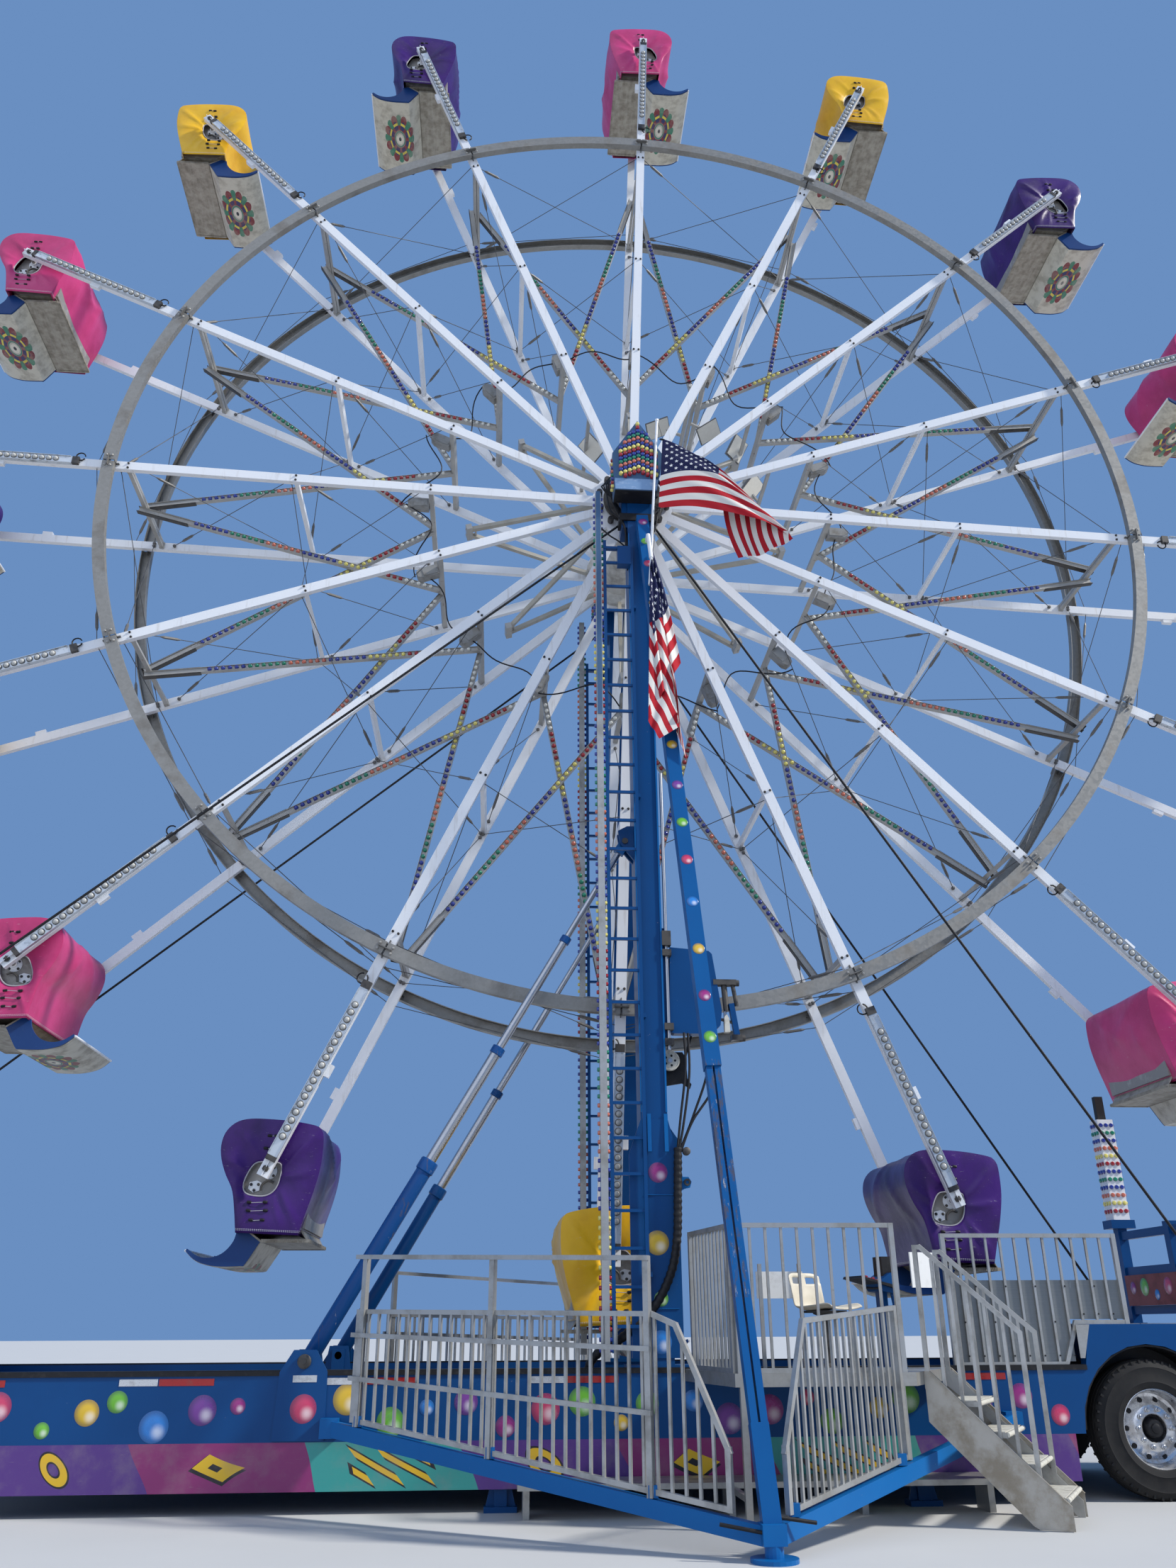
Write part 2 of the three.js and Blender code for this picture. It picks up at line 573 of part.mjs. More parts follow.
// Outrigger triangle in front of the side beam, with its screw foot
const CORNER = vec(375, -3640, 130);
const BEAM_TALL = 110;
const LEFT_ROOT = vec(-2650, -SIDE_Y - 50, 600);
const RIGHT_ROOT = vec(2880, -SIDE_Y - 50, 600);
function outrigger() {
  const up = vec(0, 0, 1);
  return fuse(
    bar(LEFT_ROOT, CORNER, BEAM_TALL, 70, up),
    bar(RIGHT_ROOT, CORNER, BEAM_TALL, 70, up),
    block(LEFT_ROOT.x - 70, LEFT_ROOT.x + 70, -SIDE_Y - 110, -SIDE_Y - GAP, 530, 670),
    block(RIGHT_ROOT.x - 70, RIGHT_ROOT.x + 70, -SIDE_Y - 110, -SIDE_Y - GAP, 530, 670),
    rod(vec(375, -3640, 0), vec(375, -3640, 25), 150, 24),
    rod(vec(375, -3640, 20), vec(375, -3640, 150), 60, 16),
    block(CORNER.x - 75, CORNER.x + 75, -3700, -3540, 90, STRUT_SEAT),
  );
}
add(model, 'near_outrigger', outrigger(), blue);
add(model, 'far_outrigger', mirrorY(outrigger()), blue);

// Boarding platform with its legs and the low walkway plank under it
const PLATFORM_Y = -2460;
const PLATFORM = [[200, -SIDE_Y - GAP], [400, PLATFORM_Y], [1760, PLATFORM_Y], [2440, -SIDE_Y - GAP]];
const PLATFORM_LEGS = [[460, PLATFORM_Y + 25, 0], [1640, PLATFORM_Y + 15, 432]];
function platform() {
  return fuse(
    plateXY(PLATFORM.slice().reverse(), DECK_Z - 90, DECK_Z),
    PLATFORM_LEGS.map(([x, y, z]) => block(x - 25, x + 25, y - 25, y + 25, z, DECK_Z - 80)),
    block(450, 490, PLATFORM_Y + 25, -SIDE_Y - 40, 170, 210),
    block(-1170, 2680, -1820, -SIDE_Y - 30, 200, 240),
    [-1100, 470, 1500, 2500].map((x) => block(x - 25, x + 25, -1700, -1420, 0, 210)),
  );
}
add(model, 'platform', platform(), aluminium);

// Stair from the slanted side of the platform, with two stringers, treads and handrails
const [EDGE_A, EDGE_B] = [PLATFORM[2], PLATFORM[3]];
const STAIR_TOP = [0, 1].map((i) => EDGE_A[i] * 0.51 + EDGE_B[i] * 0.49);
const STAIR_TURN = Math.atan2(EDGE_A[0] - EDGE_B[0], EDGE_B[1] - EDGE_A[1]);
const STAIR_WIDE = 780;
const TREADS = 4;
const STAIR_RUN = 880;
function stair() {
  const rise = DECK_Z / (TREADS + 1);
  const going = STAIR_RUN / (TREADS + 1);
  const pieces = [];
  const stringer = [
    [GAP, 880], [GAP, 985], [60, 985], [STAIR_RUN + 40, 110], [STAIR_RUN + 40, 0], [STAIR_RUN - 10, 0], [300, 640],
  ];
  for (const side of [-1, 1]) {
    const y = side * STAIR_WIDE / 2;
    const rail = (x0, z0, x1, z1, size = 34) => bar(vec(x0, y, z0), vec(x1, y, z1), size, size);
    pieces.push(plateXZ(stringer, y - 12, y + 12));
    pieces.push(rail(10, 1880, 70, 1880));
    pieces.push(rail(60, 1890, 745, 1260));
    pieces.push(rail(28, 900, 28, 1895));
    pieces.push(rail(740, 1275, 740, 180));
    for (let n = 1; n <= 5; n += 1) {
      const x = 28 + n * 119;
      pieces.push(rail(x, 930 - n * 110, x, 1900 - n * 108, 24));
    }
  }
  for (let n = 1; n <= TREADS; n += 1) {
    const z = DECK_Z - n * rise;
    const x = (n - 0.24) * going;
    pieces.push(block(x, x + going + 70, -STAIR_WIDE / 2, STAIR_WIDE / 2, z - 35, z));
  }
  const flight = fuse(pieces);
  flight.rotateZ(STAIR_TURN);
  flight.translate(STAIR_TOP[0], STAIR_TOP[1], 0);
  return flight;
}
add(model, 'stair', stair(), aluminium);

// The height of a polyline [distance, z] at a distance
function heightAt(line, d) {
  const n = Math.max(1, line.findIndex(([far]) => d <= far));
  const [d0, z0] = line[n - 1];
  const [d1, z1] = line[n];
  return z0 + (z1 - z0) * (d - d0) / (d1 - d0);
}

// A picket fence panel along a line on the ground: its bottom and top rails are polylines [distance, z].
// Extra bars [d0, z0, d1, z1, size, aside] stand beside the panel.
const RAIL = 34;
const PICKET = 20;
function fencePanel(from, to, low, high, pitch, extras = []) {
  const run = new THREE.Vector2(to[0] - from[0], to[1] - from[1]);
  const length = run.length();
  const upright = (d, size) => bar(vec(d, 0, heightAt(low, d)), vec(d, 0, heightAt(high, d)), size, size);
  const pieces = [];
  for (const line of [low, high]) {
    for (let n = 1; n < line.length; n += 1) {
      const a = vec(line[n - 1][0], 0, line[n - 1][1]);
      const b = vec(line[n][0], 0, line[n][1]);
      const along = b.clone().sub(a).normalize();
      a.addScaledVector(along, n === 1 ? RAIL / 4 : -RAIL / 4);
      b.addScaledVector(along, n === line.length - 1 ? -RAIL / 4 : RAIL / 4);
      pieces.push(bar(a, b, RAIL, RAIL));
    }
  }
  for (const d of [RAIL / 2, length - RAIL / 2]) {
    pieces.push(bar(vec(d, 0, heightAt(low, d) - RAIL / 2), vec(d, 0, heightAt(high, d) + RAIL / 2), RAIL + 4, RAIL + 4));
  }
  const bays = Math.round((length - RAIL) / pitch);
  for (let n = 1; n < bays; n += 1) {
    pieces.push(upright(RAIL / 2 + n * (length - RAIL) / bays, PICKET));
  }
  for (const [d0, z0, d1, z1, size, aside = 0] of extras) {
    pieces.push(bar(vec(d0, aside, z0), vec(d1, aside, z1), size, size));
  }
  const panel = fuse(pieces);
  panel.rotateZ(Math.atan2(run.y, run.x));
  panel.translate(from[0], from[1], 0);
  return panel;
}

// Fences on the outrigger beams follow the fall of the beam
const BEAM_CLEAR = 40;
function beamFence(root, t0, t1, topLine, pitch, bars) {
  const length = Math.hypot(CORNER.x - root.x, CORNER.y - root.y);
  const slope = Math.atan2(root.z - CORNER.z, length);
  const distance = (t) => (t - t0) * length;
  const beamTop = (t) => root.z + (CORNER.z - root.z) * t + BEAM_TALL / 2 / Math.cos(slope);
  const footOn = (t, size) => beamTop(t) + size / 2 * Math.tan(slope) + GAP;
  const low = [[0, beamTop(t0) + BEAM_CLEAR], [distance(t1), beamTop(t1) + BEAM_CLEAR]];
  const high = topLine.map(([t, z]) => [distance(t), z]);
  const a = root.clone().lerp(CORNER, t0);
  const b = root.clone().lerp(CORNER, t1);
  return fencePanel([a.x, a.y], [b.x, b.y], low, high, pitch, bars(distance, footOn));
}

const POST = 44;
const POST_ASIDE = -20;
const RAIL_ASIDE = -44;
const leftTop = [[0.06, 1440], [0.78, 1400], [0.83, 1330], [0.93, 560]];
const leftBars = (distance, footOn) => [
  [[0.06, 1850], [0.78, 1760]], [[0.06, 1270], [0.78, 1180]], [[0.06, 960], [0.78, 790]],
].map(([[t0, z0], [t1, z1]]) => [distance(t0) - 12, z0, distance(t1) + 12, z1, RAIL - 1, RAIL_ASIDE]).concat(
  [0.08, 0.42, 0.775].map((t) => [distance(t), footOn(t, POST), distance(t), 1845 - 90 * t, POST, POST_ASIDE]),
);
const leftFence = () => beamFence(LEFT_ROOT, 0.06, 0.93, leftTop, 105, leftBars);
add(model, 'near_left_fence', leftFence(), aluminium);
add(model, 'far_left_fence', mirrorY(leftFence()), aluminium);

const rightTop = [[0.5, 1440], [0.86, 1350], [0.95, 560]];
const rightBars = (distance, footOn) => [0.53, 0.93].map((t) =>
  [distance(t), footOn(t, RAIL), distance(t), footOn(t, RAIL) + BEAM_CLEAR + 10, RAIL]);
add(model, 'near_right_fence', beamFence(RIGHT_ROOT, 0.5, 0.95, rightTop, 80, rightBars), aluminium);

// Fences that stand on the platform and on the trailer
const RAIL_Z = 2030;
const ON_DECK = DECK_Z + RAIL / 2 + GAP;
const ON_END_DECK = END_DECK_Z + RAIL / 2 + GAP;
function deckPanel(from, to, pitch, low = null) {
  const length = Math.hypot(to[0] - from[0], to[1] - from[1]);
  return fencePanel(from, to, low || [[0, ON_DECK], [length, ON_DECK]], [[0, RAIL_Z], [length, RAIL_Z]], pitch);
}
add(model, 'deck_fence_left', deckPanel([262, -1400], [418, PLATFORM_Y + 75], 90), aluminium);
add(model, 'deck_fence_front', deckPanel([430, PLATFORM_Y + 30], [1700, PLATFORM_Y + 30], 130), aluminium);
const stepUp = [[0, ON_DECK], [970, ON_DECK], [1100, ON_END_DECK], [1570, ON_END_DECK]];
add(model, 'deck_fence_right', deckPanel([2480, -1265], [4050, -1265], 130, stepUp), aluminium);

// Operator's chair and console on the platform
function chair() {
  const pieces = [
    block(-200, 200, -190, 190, 430, 470),
    bar(vec(0, 190, 440), vec(0, 255, 830), 400, 30, vec(1, 0, 0)),
    block(-225, -195, -150, 190, 445, 600),
    block(195, 225, -150, 190, 445, 600),
    rod(vec(0, 0, GAP), vec(0, 0, 440), 35, 12),
    rod(vec(0, 0, GAP), vec(0, 0, 20), 160, 20),
  ];
  const whole = fuse(pieces);
  whole.rotateZ(-0.9);
  whole.translate(1130, -1860, DECK_Z);
  return whole;
}
add(model, 'operator_chair', chair(), material('cream', 0.5));

function consoleDesk() {
  const whole = fuse(
    block(-45, 45, -45, 45, GAP, 640),
    block(-120, 120, -120, 120, GAP, 12),
    plateXZ([[-200, 630], [230, 560], [230, 700], [60, 730], [-200, 665]], -180, 180),
    block(60, 160, -90, 90, 700, 980),
  );
  whole.rotateZ(0.35);
  whole.translate(1700, -1640, DECK_Z);
  return whole;
}
add(model, 'control_console', consoleDesk(), deepBlue);

// Axles with their tyres
const TYRE_R = 525;
const TYRE_WIDE = 280;
function axle(x) {
  const tyre = (y0) => {
    const y1 = y0 + TYRE_WIDE;
    const section = [
      [0, y0 + 60], [255, y0 + 50], [275, y0], [470, y0 + 8], [TYRE_R, y0 + 60], [TYRE_R, y1 - 60], [470, y1 - 8],
      [275, y1], [255, y1 - 50], [0, y1 - 60],
    ].map(([r, y]) => new THREE.Vector2(r, y));
    return new THREE.LatheGeometry(section, 20);
  };
  const whole = fuse(
    tyre(-SIDE_Y + 15), tyre(SIDE_Y - 15 - TYRE_WIDE),
    rod(vec(0, -1100, 0), vec(0, 1100, 0), 70, 12),
    [-1, 1].map((s) => block(-60, 60, s * 560 - 50, s * 560 + 50, 0, 115 - GAP)),
  );
  whole.translate(x, 0, AXLE_Z);
  return whole;
}
AXLES_X.forEach((x, n) => add(model, n === 0 ? 'front_axle' : 'rear_axle', axle(x), material('black', 0.8)));

// Raised frame and bulb post at the rear
const FRAME_X = 5270;
const POST_Y = 1030;
function rearFrame() {
  const low = END_DECK_Z + GAP;
  const posts = [-POST_Y, 0, POST_Y].map((y) => block(FRAME_X - 50, FRAME_X + 50, y - 50, y + 50, low, 2250));
  const rails = [1450, 1820, 2170].map((z) => block(FRAME_X - 30, FRAME_X + 30, -POST_Y, POST_Y, z - 40, z + 40));
  const caps = [-1, 1].map((s) => block(FRAME_X - 130, FRAME_X + 130, s * POST_Y - 100, s * POST_Y + 100, 2245, 2330));
  const feet = [-POST_Y, 0, POST_Y].map((y) => block(FRAME_X - 80, FRAME_X + 80, y - 80, y + 80, low, low + 12));
  const lightPosts = [-1, 1].map((s) => [
    block(FRAME_X - 85, FRAME_X + 85, s * POST_Y - 85, s * POST_Y + 85, 2320, 3370),
    block(FRAME_X - 40, FRAME_X + 40, s * POST_Y - 25, s * POST_Y + 25, 3360, 3620),
  ]);
  return fuse(posts, rails, caps, feet, lightPosts.flat());
}
add(model, 'rear_frame', rearFrame(), deepBlue);

// Rest frame at the front of the trailer, which also holds the front guys
function frontFrame() {
  const low = END_DECK_Z + GAP;
  const x = -8730;
  const posts = [GUY_Y, 0, -GUY_Y].map((y) => block(x - 50, x + 50, y - 50, y + 50, low, 2030));
  const rails = [1450, 1990].map((z) => block(x - 30, x + 30, GUY_Y, -GUY_Y, z - 40, z + 40));
  return fuse(posts, rails);
}
add(model, 'front_frame', frontFrame(), deepBlue);

export default model;
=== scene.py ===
import json
import math

import bpy
import numpy as np
from mathutils import Matrix, Vector


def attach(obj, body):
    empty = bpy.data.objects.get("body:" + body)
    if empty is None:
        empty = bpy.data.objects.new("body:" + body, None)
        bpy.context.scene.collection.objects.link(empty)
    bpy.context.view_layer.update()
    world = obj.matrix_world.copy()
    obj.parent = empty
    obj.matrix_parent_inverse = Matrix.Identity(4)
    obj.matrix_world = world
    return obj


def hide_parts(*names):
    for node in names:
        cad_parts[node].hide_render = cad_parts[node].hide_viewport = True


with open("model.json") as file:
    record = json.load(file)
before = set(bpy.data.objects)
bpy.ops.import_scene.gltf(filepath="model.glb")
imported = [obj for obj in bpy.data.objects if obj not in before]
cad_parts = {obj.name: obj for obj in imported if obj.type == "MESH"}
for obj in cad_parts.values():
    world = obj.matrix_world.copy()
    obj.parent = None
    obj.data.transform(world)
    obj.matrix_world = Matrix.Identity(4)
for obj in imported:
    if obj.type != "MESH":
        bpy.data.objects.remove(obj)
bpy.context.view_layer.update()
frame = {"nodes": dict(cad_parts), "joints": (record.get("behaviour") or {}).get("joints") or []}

# Sizes that the frame and the pieces share
HUB_Z = frame["joints"][0]["pos_m"][2]
SEATS = 16
STEP = 2 * math.pi / SEATS
REST_ANGLE = math.radians(2.232)
SEAT_R = 8.234
RIM_R = 6.0
STAR_OUT = 0.81
TIP_R = SEAT_R + 0.07
BOTH = (-1, 1)


# Camera at the photograph's viewing angle
CAMERA_PLACE = (-1.378, -12.196, 1.32)
CAMERA_TURN = (4.2153, 24.2915, -0.2889)
CAMERA_LENS = 27.607


def photo_camera():
    """Yaw from +Y towards +X, then pitch upwards and roll, in degrees."""
    yaw, pitch, roll = (math.radians(turn) for turn in CAMERA_TURN)
    ahead = Vector((math.sin(yaw) * math.cos(pitch), math.cos(yaw) * math.cos(pitch), math.sin(pitch)))
    level = Vector((math.cos(yaw), -math.sin(yaw), 0))
    above = level.cross(ahead)
    right = math.cos(roll) * level + math.sin(roll) * above
    up = math.cos(roll) * above - math.sin(roll) * level
    camera = bpy.data.objects.new("camera", bpy.data.cameras.new("camera"))
    bpy.context.scene.collection.objects.link(camera)
    turned_by = Matrix((right, up, -ahead)).transposed().to_4x4()
    camera.matrix_world = Matrix.Translation(CAMERA_PLACE) @ turned_by
    camera.data.sensor_width = 36
    camera.data.lens = CAMERA_LENS
    camera.data.clip_end = 400
    bpy.context.scene.camera = camera


photo_camera()


# Shapes: points with faces, worked out as whole arrays
class Shape:
    """Points with faces. A face is a row of point numbers, in one array for each number of corners.
    `uv` is each point's place on the pattern of its own surface."""

    def __init__(self, points, *faces, uv=None):
        self.points = np.asarray(points, float).reshape(-1, 3)
        self.faces = [np.asarray(rows, int) for rows in faces if len(rows)]
        self.uv = np.zeros((len(self.points), 2)) if uv is None else np.asarray(uv, float).reshape(-1, 2)

    def placed(self, frames):
        """A copy in each frame: a point (x, y, z) goes to origin + x * right + y * ahead + z * up."""
        frames = np.asarray(frames, float).reshape(-1, 4, 3)
        points = np.einsum("pk,fkc->fpc", self.points, frames[:, :3]) + frames[:, None, 3]
        shifts = len(self.points) * np.arange(len(frames))
        faces = [(rows[None] + shifts[:, None, None]).reshape(-1, rows.shape[1]) for rows in self.faces]
        return Shape(points, *faces, uv=np.tile(self.uv, (len(frames), 1)))

    def volume(self):
        """The sum over the faces' triangle fans of a * (b x c) / 6."""
        total = 0.0
        for rows in self.faces:
            corners = self.points[rows]
            for n in range(1, rows.shape[1] - 1):
                total += np.einsum("fc,fc->", corners[:, 0], np.cross(corners[:, n], corners[:, n + 1]))
        return total / 6

    def welded(self):
        """The same shape with its points that lie at one place made one."""
        _, first, number = np.unique(np.round(self.points, 5), axis=0, return_index=True, return_inverse=True)
        number = number.reshape(-1)
        return Shape(self.points[first], *[number[rows] for rows in self.faces], uv=self.uv[first])

    def outward(self):
        """The same shape, with its faces turned round where the volume that they close is negative."""
        if self.volume() < 0:
            self.faces = [rows[:, ::-1] for rows in self.faces]
        return self


def together(*shapes):
    """Several shapes as one, with the point numbers of each moved on past those before it."""
    shifts = np.cumsum([0] + [len(shape.points) for shape in shapes[:-1]])
    faces = {}
    for shape, shift in zip(shapes, shifts):
        for rows in shape.faces:
            faces.setdefault(rows.shape[1], []).append(rows + shift)
    return Shape(np.concatenate([shape.points for shape in shapes]),
                 *[np.concatenate(group) for group in faces.values()],
                 uv=np.concatenate([shape.uv for shape in shapes]))


def unit(vectors):
    """The vectors at length 1."""
    vectors = np.asarray(vectors, float)
    return vectors / np.linalg.norm(vectors, axis=-1, keepdims=True)


def rectangle(wide, deep):
    """The corners of a section, (across, over), anticlockwise."""
    return np.array(box_of(-wide, wide, -deep, deep)) / 2


def circle(radius, sides):
    """Points at radius * (cos t, sin t)."""
    turn = 2 * np.pi * np.arange(sides) / sides
    return radius * np.stack([np.cos(turn), np.sin(turn)], -1)


def grid_quads(rows, columns, ring=False):
    """Quads between neighbours of a grid of point numbers. A ring's last column meets its first."""
    number = np.arange(rows * columns).reshape(rows, columns)
    here, there = number[:-1], number[1:]
    quads = np.stack([here, np.roll(here, -1, 1), np.roll(there, -1, 1), there], -1)
    return (quads if ring else quads[:, :-1]).reshape(-1, 4)


def lofted(rings, closed=False):
    """A skin over rings of points, (rings, points, 3): quads join each ring to the next, and flat caps close
    the two ends unless the rings close on themselves."""
    count, sides = rings.shape[:2]
    if closed:
        quads = grid_quads(count + 1, sides, ring=True) % (count * sides)
        return Shape(rings, quads).outward()
    ends = np.arange(count * sides).reshape(count, sides)[[0, -1]]
    ends[0] = ends[0, ::-1]
    return Shape(rings, grid_quads(count, sides, ring=True), ends).outward()


def bars(section, starts, ends, side=(0, 1, 0)):
    """Straight bars of one section: its point (a, b) goes to start + a * across + b * over, and again to the
    end, where `across` is `side` squared up to the bar and `over` is square to both."""
    starts, ends = (np.atleast_2d(np.asarray(points, float)) for points in (starts, ends))
    starts, ends = np.broadcast_arrays(starts, ends)
    along = unit(ends - starts)
    over = unit(np.cross(along, side))
    across = np.cross(over, along)
    ring = section[None, :, :1] * across[:, None] + section[None, :, 1:] * over[:, None]
    points = np.stack([starts[:, None] + ring, ends[:, None] + ring], 1)
    one = lofted(points[0])
    shifts = points[0].size // 3 * np.arange(len(starts))
    faces = [(rows[None] + shifts[:, None, None]).reshape(-1, rows.shape[1]) for rows in one.faces]
    return Shape(points, *faces)


def tube(path, radius, sides=8, side=(0, 1, 0)):
    """A round tube: a circle carried along a path, square to its direction. Its radius may change."""
    path = np.asarray(path, float)
    along = unit(np.gradient(path, axis=0))
    over = unit(np.cross(along, side))
    across = np.cross(over, along)
    ring = circle(1, sides)[None]
    size = np.broadcast_to(radius, len(path))[:, None, None]
    return lofted(path[:, None] + size * (ring[..., :1] * across[:, None] + ring[..., 1:] * over[:, None]))


def turned(profile, sides):
    """A profile of (radius, height) turned about the height axis: (r cos t, r sin t, h). An end on the axis
    closes as a fan to one point, and any other end as a flat cap."""
    profile = np.asarray(profile, float)
    rings = profile[profile[:, 0] > 0]
    turn = 2 * np.pi * np.arange(sides) / sides
    high = np.broadcast_to(rings[:, 1, None], (len(rings), sides))
    points = np.stack([rings[:, :1] * np.cos(turn), rings[:, :1] * np.sin(turn), high], -1).reshape(-1, 3)
    fans, caps = [], []
    for end, first in ((0, 0), (-1, (len(rings) - 1) * sides)):
        loop = first + np.arange(sides)
        if profile[end, 0] > 0:
            caps.append(loop[::-1] if end == 0 else loop)
            continue
        pole = np.full(sides, len(points))
        points = np.vstack([points, [0, 0, profile[end, 1]]])
        fan = np.stack([loop, np.roll(loop, -1), pole], -1)
        fans.append(fan[:, ::-1] if end == 0 else fan)
    quads = grid_quads(len(rings), sides, ring=True)
    return Shape(points, quads, np.vstack(fans) if fans else [], caps).outward()


def hoop(profile, sides):
    """A closed section of (radius, height) turned into a ring about the height axis."""
    profile = np.asarray(profile, float)
    turn = 2 * np.pi * np.arange(sides)[:, None] / sides
    high = np.broadcast_to(profile[None, :, 1], (sides, len(profile)))
    radius = profile[None, :, 0]
    return lofted(np.stack([radius * np.cos(turn), radius * np.sin(turn), high], -1), closed=True)


def plate(outline, low, high, axis=1):
    """A flat plate: an outline of (x, z) points, or of (x, y) ones where the axis is 2, from low to high."""
    outline = np.asarray(outline, float)
    rings = np.stack([np.insert(outline, axis, level, axis=1) for level in (low, high)])
    return lofted(rings)


def box_of(left, right, low, high):
    """The outline of a rectangle."""
    return [(left, low), (right, low), (right, high), (left, high)]


def upright(section, x, y, low, high):
    """An upright bar."""
    return bars(section, (x, y, low), (x, y, high), (1, 0, 0))


def frames_at(origins, ups, rights):
    """Frames (right, ahead, up, origin), with `right` squared up to `up`."""
    ups, rights = np.asarray(ups, float), np.asarray(rights, float)
    origins, ups, rights = np.broadcast_arrays(np.atleast_2d(origins), ups, rights)
    ups = unit(ups)
    ahead = unit(np.cross(ups, rights))
    return np.stack([np.cross(ahead, ups), ahead, ups, origins], 1)


def curve(knots, count, closed=False):
    """A smooth path through its knots: on each span the cubic whose slope at a knot is half the step between
    the knots on either side."""
    knots = np.asarray(knots, float)
    padded = np.vstack([knots[-1:], knots, knots[:2]]) if closed else np.vstack(
        [2 * knots[:1] - knots[1:2], knots, 2 * knots[-1:] - knots[-2:-1]])
    spans = len(padded) - 3
    place = np.linspace(0, spans, count, endpoint=not closed)
    span = np.minimum(place.astype(int), spans - 1)
    t = (place - span)[:, None]
    a, b, c, d = (padded[span + n] for n in range(4))
    bend = a - 2.5 * b + 2 * c - d / 2
    return b + t * (c - a) / 2 + t ** 2 * bend + t ** 3 * (1.5 * (b - c) + (d - a) / 2)


def walked_along(path):
    """The way walked from the path's start to each of its points."""
    return np.concatenate([[0], np.cumsum(np.linalg.norm(np.diff(path, axis=0), axis=1))])


def normals(path):
    """Unit vectors square to a flat path, on its left."""
    slope = unit(np.gradient(path, axis=0))
    return np.stack([-slope[:, 1], slope[:, 0]], -1)


def evenly(path, count):
    """The same path with its points a like distance apart."""
    path = np.asarray(path, float)
    walked = walked_along(path)
    place = np.linspace(0, walked[-1], count)
    return np.stack([np.interp(place, walked, column) for column in path.T], -1)


# Pieces
def piece(name, shape, finish, body, smooth=None, replaces=(), tint=None, thickness=None):
    """Makes the shape a mesh object on a body. Edges flatter than `smooth` degrees are shaded round."""
    mesh = bpy.data.meshes.new(name)
    corners = np.concatenate([rows.ravel() for rows in shape.faces]).astype(np.int32)
    sizes = np.concatenate([np.full(len(rows), rows.shape[1]) for rows in shape.faces])
    mesh.vertices.add(len(shape.points))
    mesh.vertices.foreach_set("co", shape.points.astype(np.float32).ravel())
    mesh.loops.add(len(corners))
    mesh.loops.foreach_set("vertex_index", corners)
    mesh.polygons.add(len(sizes))
    mesh.polygons.foreach_set("loop_start", (np.cumsum(sizes) - sizes).astype(np.int32))
    mesh.update(calc_edges=True)
    if shape.uv.any():
        layer = mesh.uv_layers.new(name="pattern")
        layer.data.foreach_set("uv", shape.uv[corners].astype(np.float32).ravel())
    if tint is not None:
        colours = np.concatenate([tint, np.ones((len(tint), 1))], 1)
        layer = mesh.attributes.new("tint", "FLOAT_COLOR", "POINT")
        layer.data.foreach_set("color", colours.astype(np.float32).ravel())
    mesh.polygons.foreach_set("use_smooth", np.full(len(sizes), bool(smooth)))
    if smooth:
        mesh.set_sharp_from_angle(angle=math.radians(smooth))
    mesh.materials.append(finish)
    made = bpy.data.objects.new(name, mesh)
    bpy.context.scene.collection.objects.link(made)
    if thickness:
        wall = made.modifiers.new("wall", "SOLIDIFY")
        wall.thickness = thickness
        wall.offset = -1
    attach(made, body)
    if replaces:
        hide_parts(*replaces)
    return made


# Shader maths as Python expressions
class Wire:
    """A socket's output. Each operator adds its Math node."""

    def __init__(self, finish, socket):
        self.finish, self.socket = finish, socket

    def math(self, operation, *others):
        return self.finish.node("ShaderNodeMath", {"operation": operation}, [self, *others])

    def __add__(self, other):
        return self.math("ADD", other)

    __radd__ = __add__

    def __mul__(self, other):
        return self.math("MULTIPLY", other)

    __rmul__ = __mul__

    def __sub__(self, other):
        return self.math("SUBTRACT", other)

    def __rsub__(self, other):
        return self.finish.node("ShaderNodeMath", {"operation": "SUBTRACT"}, [other, self])

    def __truediv__(self, other):
        return self.math("DIVIDE", other)

    def __rtruediv__(self, other):
        return self.finish.node("ShaderNodeMath", {"operation": "DIVIDE"}, [other, self])

    def __pow__(self, other):
        return self.math("POWER", other)

    def __gt__(self, other):
        return self.math("GREATER_THAN", other)

    def __lt__(self, other):
        return self.math("LESS_THAN", other)

    def __abs__(self):
        return self.math("ABSOLUTE")

    def smooth(self, low, high):
        """0 below low, 1 above high, with an eased step between."""
        return self.finish.node("ShaderNodeMapRange", {"interpolation_type": "SMOOTHSTEP"}, [self, low, high])


